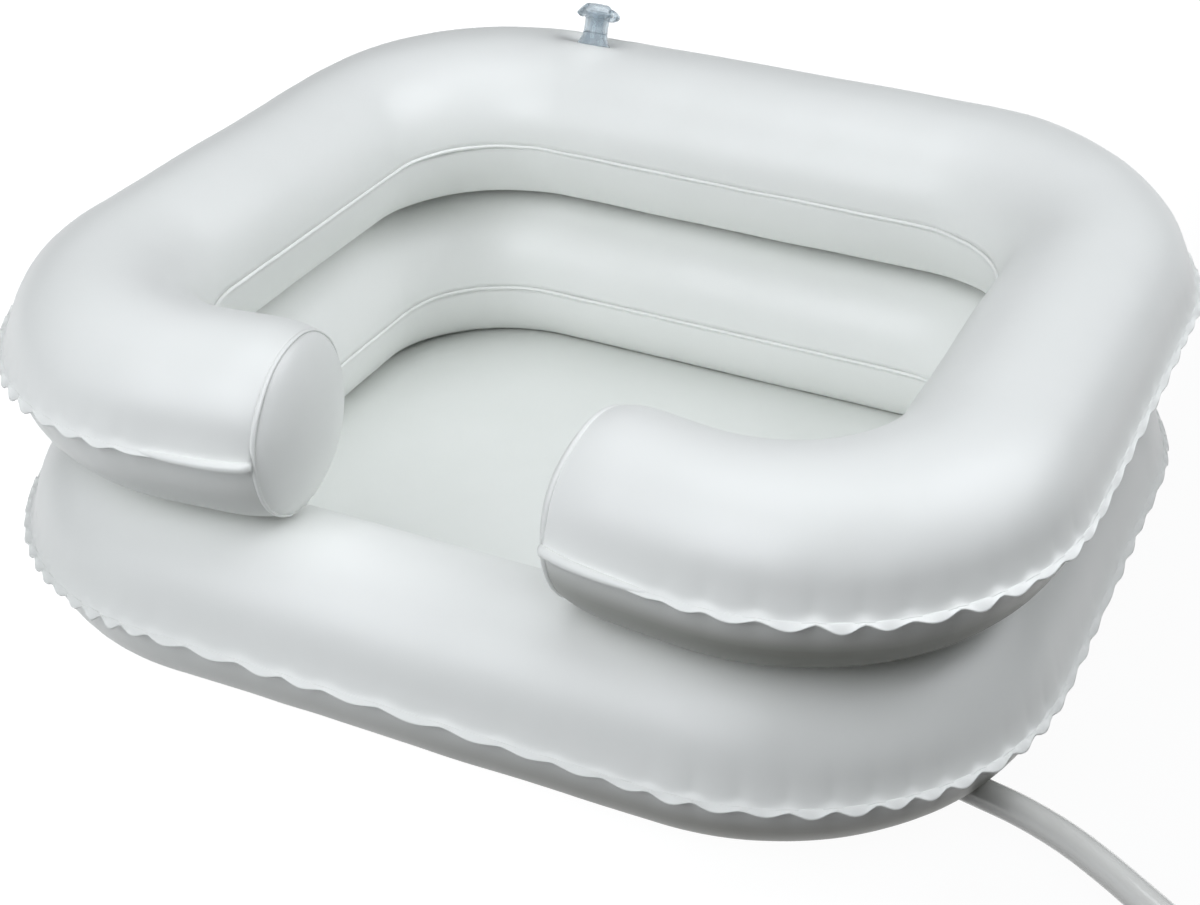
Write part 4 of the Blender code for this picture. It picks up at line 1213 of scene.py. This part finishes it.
def valve_tab(name, place, clear):
    """Drooping tab on the mushroom head, to pull the plug by."""
    spine = []
    for step in range(TAB_STEPS + 1):
        share = step / TAB_STEPS
        spine.append(TAB_START - Vector((TAB_REACH * share, 0, TAB_DROOP * share ** TAB_BEND)))

    def half_width(share):
        return TAB_HALF_WIDTH - TAB_NARROWING * share ** 3

    return valve_band(name, spine, half_width, TAB_HALF_THICKNESS, place, clear)


def valve_tie(name, place, clear):
    """Bowed band that ties the plug to the neck."""
    spine = []
    for step in range(TIE_STEPS + 1):
        share = step / TIE_STEPS
        spine.append(TIE_FOOT.lerp(TIE_HEAD, share) + TIE_BOW * math.sin(math.pi * share) ** TIE_BOW_FULLNESS)
    return valve_band(name, spine, lambda share: TIE_HALF_WIDTH, TIE_HALF_THICKNESS, place, clear)


def make_valve(prefix, clear):
    """Push-in air valve, popped out: flange, bell, check flap, mushroom plug with a tab, and its tie."""
    place = valve_place(prefix)
    valve = prefix + "_valve"
    settle(valve_flange(valve + "_welded_flange", place, clear), "root", "clear_vinyl", valve + "_flange")
    settle(valve_bell(valve + "_bell", place, clear), valve, "clear_vinyl", valve + "_stem")
    settle(valve_flap(valve + "_check_flap", place, clear), valve + "_check", "clear_vinyl", valve + "_flap")
    settle(valve_plug(valve + "_mushroom_plug", place, clear), valve + "_cap", "clear_vinyl", valve + "_plug")
    settle(valve_tab(valve + "_pull_tab", place, clear), valve + "_cap", "clear_vinyl")
    tie = valve_tie(valve + "_tie", place, clear)
    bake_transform(tie)
    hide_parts(valve + "_strap")


def dress_drain(white):
    """Finish the drain's fitting and stopper, which keep their own shape."""
    for name, node in frame["nodes"].items():
        if name.startswith("drain_body") or name.startswith("drain_stopper"):
            node.data.materials.clear()
            node.data.materials.append(white)


def seen_by(tree, *rays):
    """1 for these kinds of rays, 0 for the others."""
    light_path = add_node(tree, "ShaderNodeLightPath").outputs
    seen = light_path[rays[0]]
    for ray in rays[1:]:
        seen = add_node(
            tree, "ShaderNodeMath", {"operation": "MAXIMUM"}, {0: seen, 1: light_path[ray]}
        ).outputs[0]
    return seen


def white_table():
    """Matt white table: plain white behind the object, duller to bounced light, and dullest to the right."""
    material, tree, shader = new_material("white_table")
    place = add_node(tree, "ShaderNodeTexCoord").outputs["Object"]
    across = add_node(tree, "ShaderNodeSeparateXYZ", None, {0: place}).outputs["X"]
    share = add_node(
        tree, "ShaderNodeMapRange", {"From Min": -TABLE_BOUNCE_SPAN, "From Max": TABLE_BOUNCE_SPAN},
        {"Value": across},
    )
    bounce = add_node(
        tree, "ShaderNodeMix",
        {"data_type": "RGBA", 6: linear(TABLE_BOUNCE_LEFT), 7: linear(TABLE_BOUNCE_RIGHT)},
        {0: share.outputs["Result"]},
    )
    tree.links.new(bounce.outputs[2], shader.inputs["Base Color"])
    shader.inputs["Roughness"].default_value = 0.9
    shader.inputs["Specular IOR Level"].default_value = 0.1
    seen = seen_by(tree, "Is Camera Ray", "Is Glossy Ray", "Is Transmission Ray")
    white = add_node(tree, "ShaderNodeEmission", {"Color": (1, 1, 1, 1), "Strength": TABLE_WHITE})
    shaded = add_node(tree, "ShaderNodeAddShader", None, {0: shader.outputs[0], 1: white.outputs[0]})
    surface = add_node(
        tree, "ShaderNodeMixShader", None, {0: seen, 1: shader.outputs[0], 2: shaded.outputs[0]}
    )
    tree.links.new(surface.outputs[0], tree.nodes["Material Output"].inputs["Surface"])
    return material


def make_stage():
    """The table under the object, which fills the picture."""
    bm = bmesh.new()
    bmesh.ops.create_grid(bm, x_segments=1, y_segments=1, size=TABLE_SIZE)
    bmesh.ops.translate(bm, verts=bm.verts, vec=(0, 0, -TABLE_GAP))
    object_from(bm, "table", white_table())


def make_lights():
    """Broad soft boxes: high in front, high behind to the right, overhead and low on the left."""
    for name, azimuth, elevation, power in LAMPS:
        turn, climb = math.radians(azimuth), math.radians(elevation)
        way = Vector((math.sin(turn) * math.cos(climb), -math.cos(turn) * math.cos(climb), math.sin(climb)))
        data = bpy.data.lights.new(name, "AREA")
        data.shape = "SQUARE"
        data.size = LAMP_SIZE
        data.energy = power
        data.color = linear(LAMP_WHITE)[:3]
        lamp = bpy.data.objects.new(name, data)
        bpy.context.scene.collection.objects.link(lamp)
        lamp.location = way * LAMP_DISTANCE
        lamp.rotation_euler = (LAMP_AIM - lamp.location).to_track_quat("-Z", "Y").to_euler()


def make_surround():
    """A world that looks white but lights the object only a little."""
    world = bpy.data.worlds.new("surround")
    bpy.context.scene.world = world
    world.use_nodes = True
    tree = world.node_tree
    background = tree.nodes["Background"]
    seen = seen_by(tree, "Is Camera Ray", "Is Transmission Ray")
    strength = add_node(
        tree, "ShaderNodeMapRange", {"To Min": SURROUND_LIGHT, "To Max": 1.0}, {"Value": seen}
    )
    tree.links.new(strength.outputs["Result"], background.inputs["Strength"])
    background.inputs["Color"].default_value = (1, 1, 1, 1)


def main():
    bpy.context.scene.view_settings.view_transform = "Standard"
    make_camera()
    path = hose_path()
    make_hose(path, hose_vinyl())
    film = vinyl_film("ring_vinyl_film", "F9FAF8", "F5F7F4", 0.38)
    floor_film = vinyl_film("floor_vinyl_film", "F5F7F4", "F0F3EF", 0.40)
    lower = make_rings(film, path)
    settle(make_floor(lower, path, floor_film), "root", "floor_film", "floor_sheet")
    clear = clear_vinyl()
    for prefix in ("upper", "lower"):
        make_valve(prefix, clear)
    dress_drain(moulded_white())
    make_stage()
    make_lights()
    make_surround()


main()
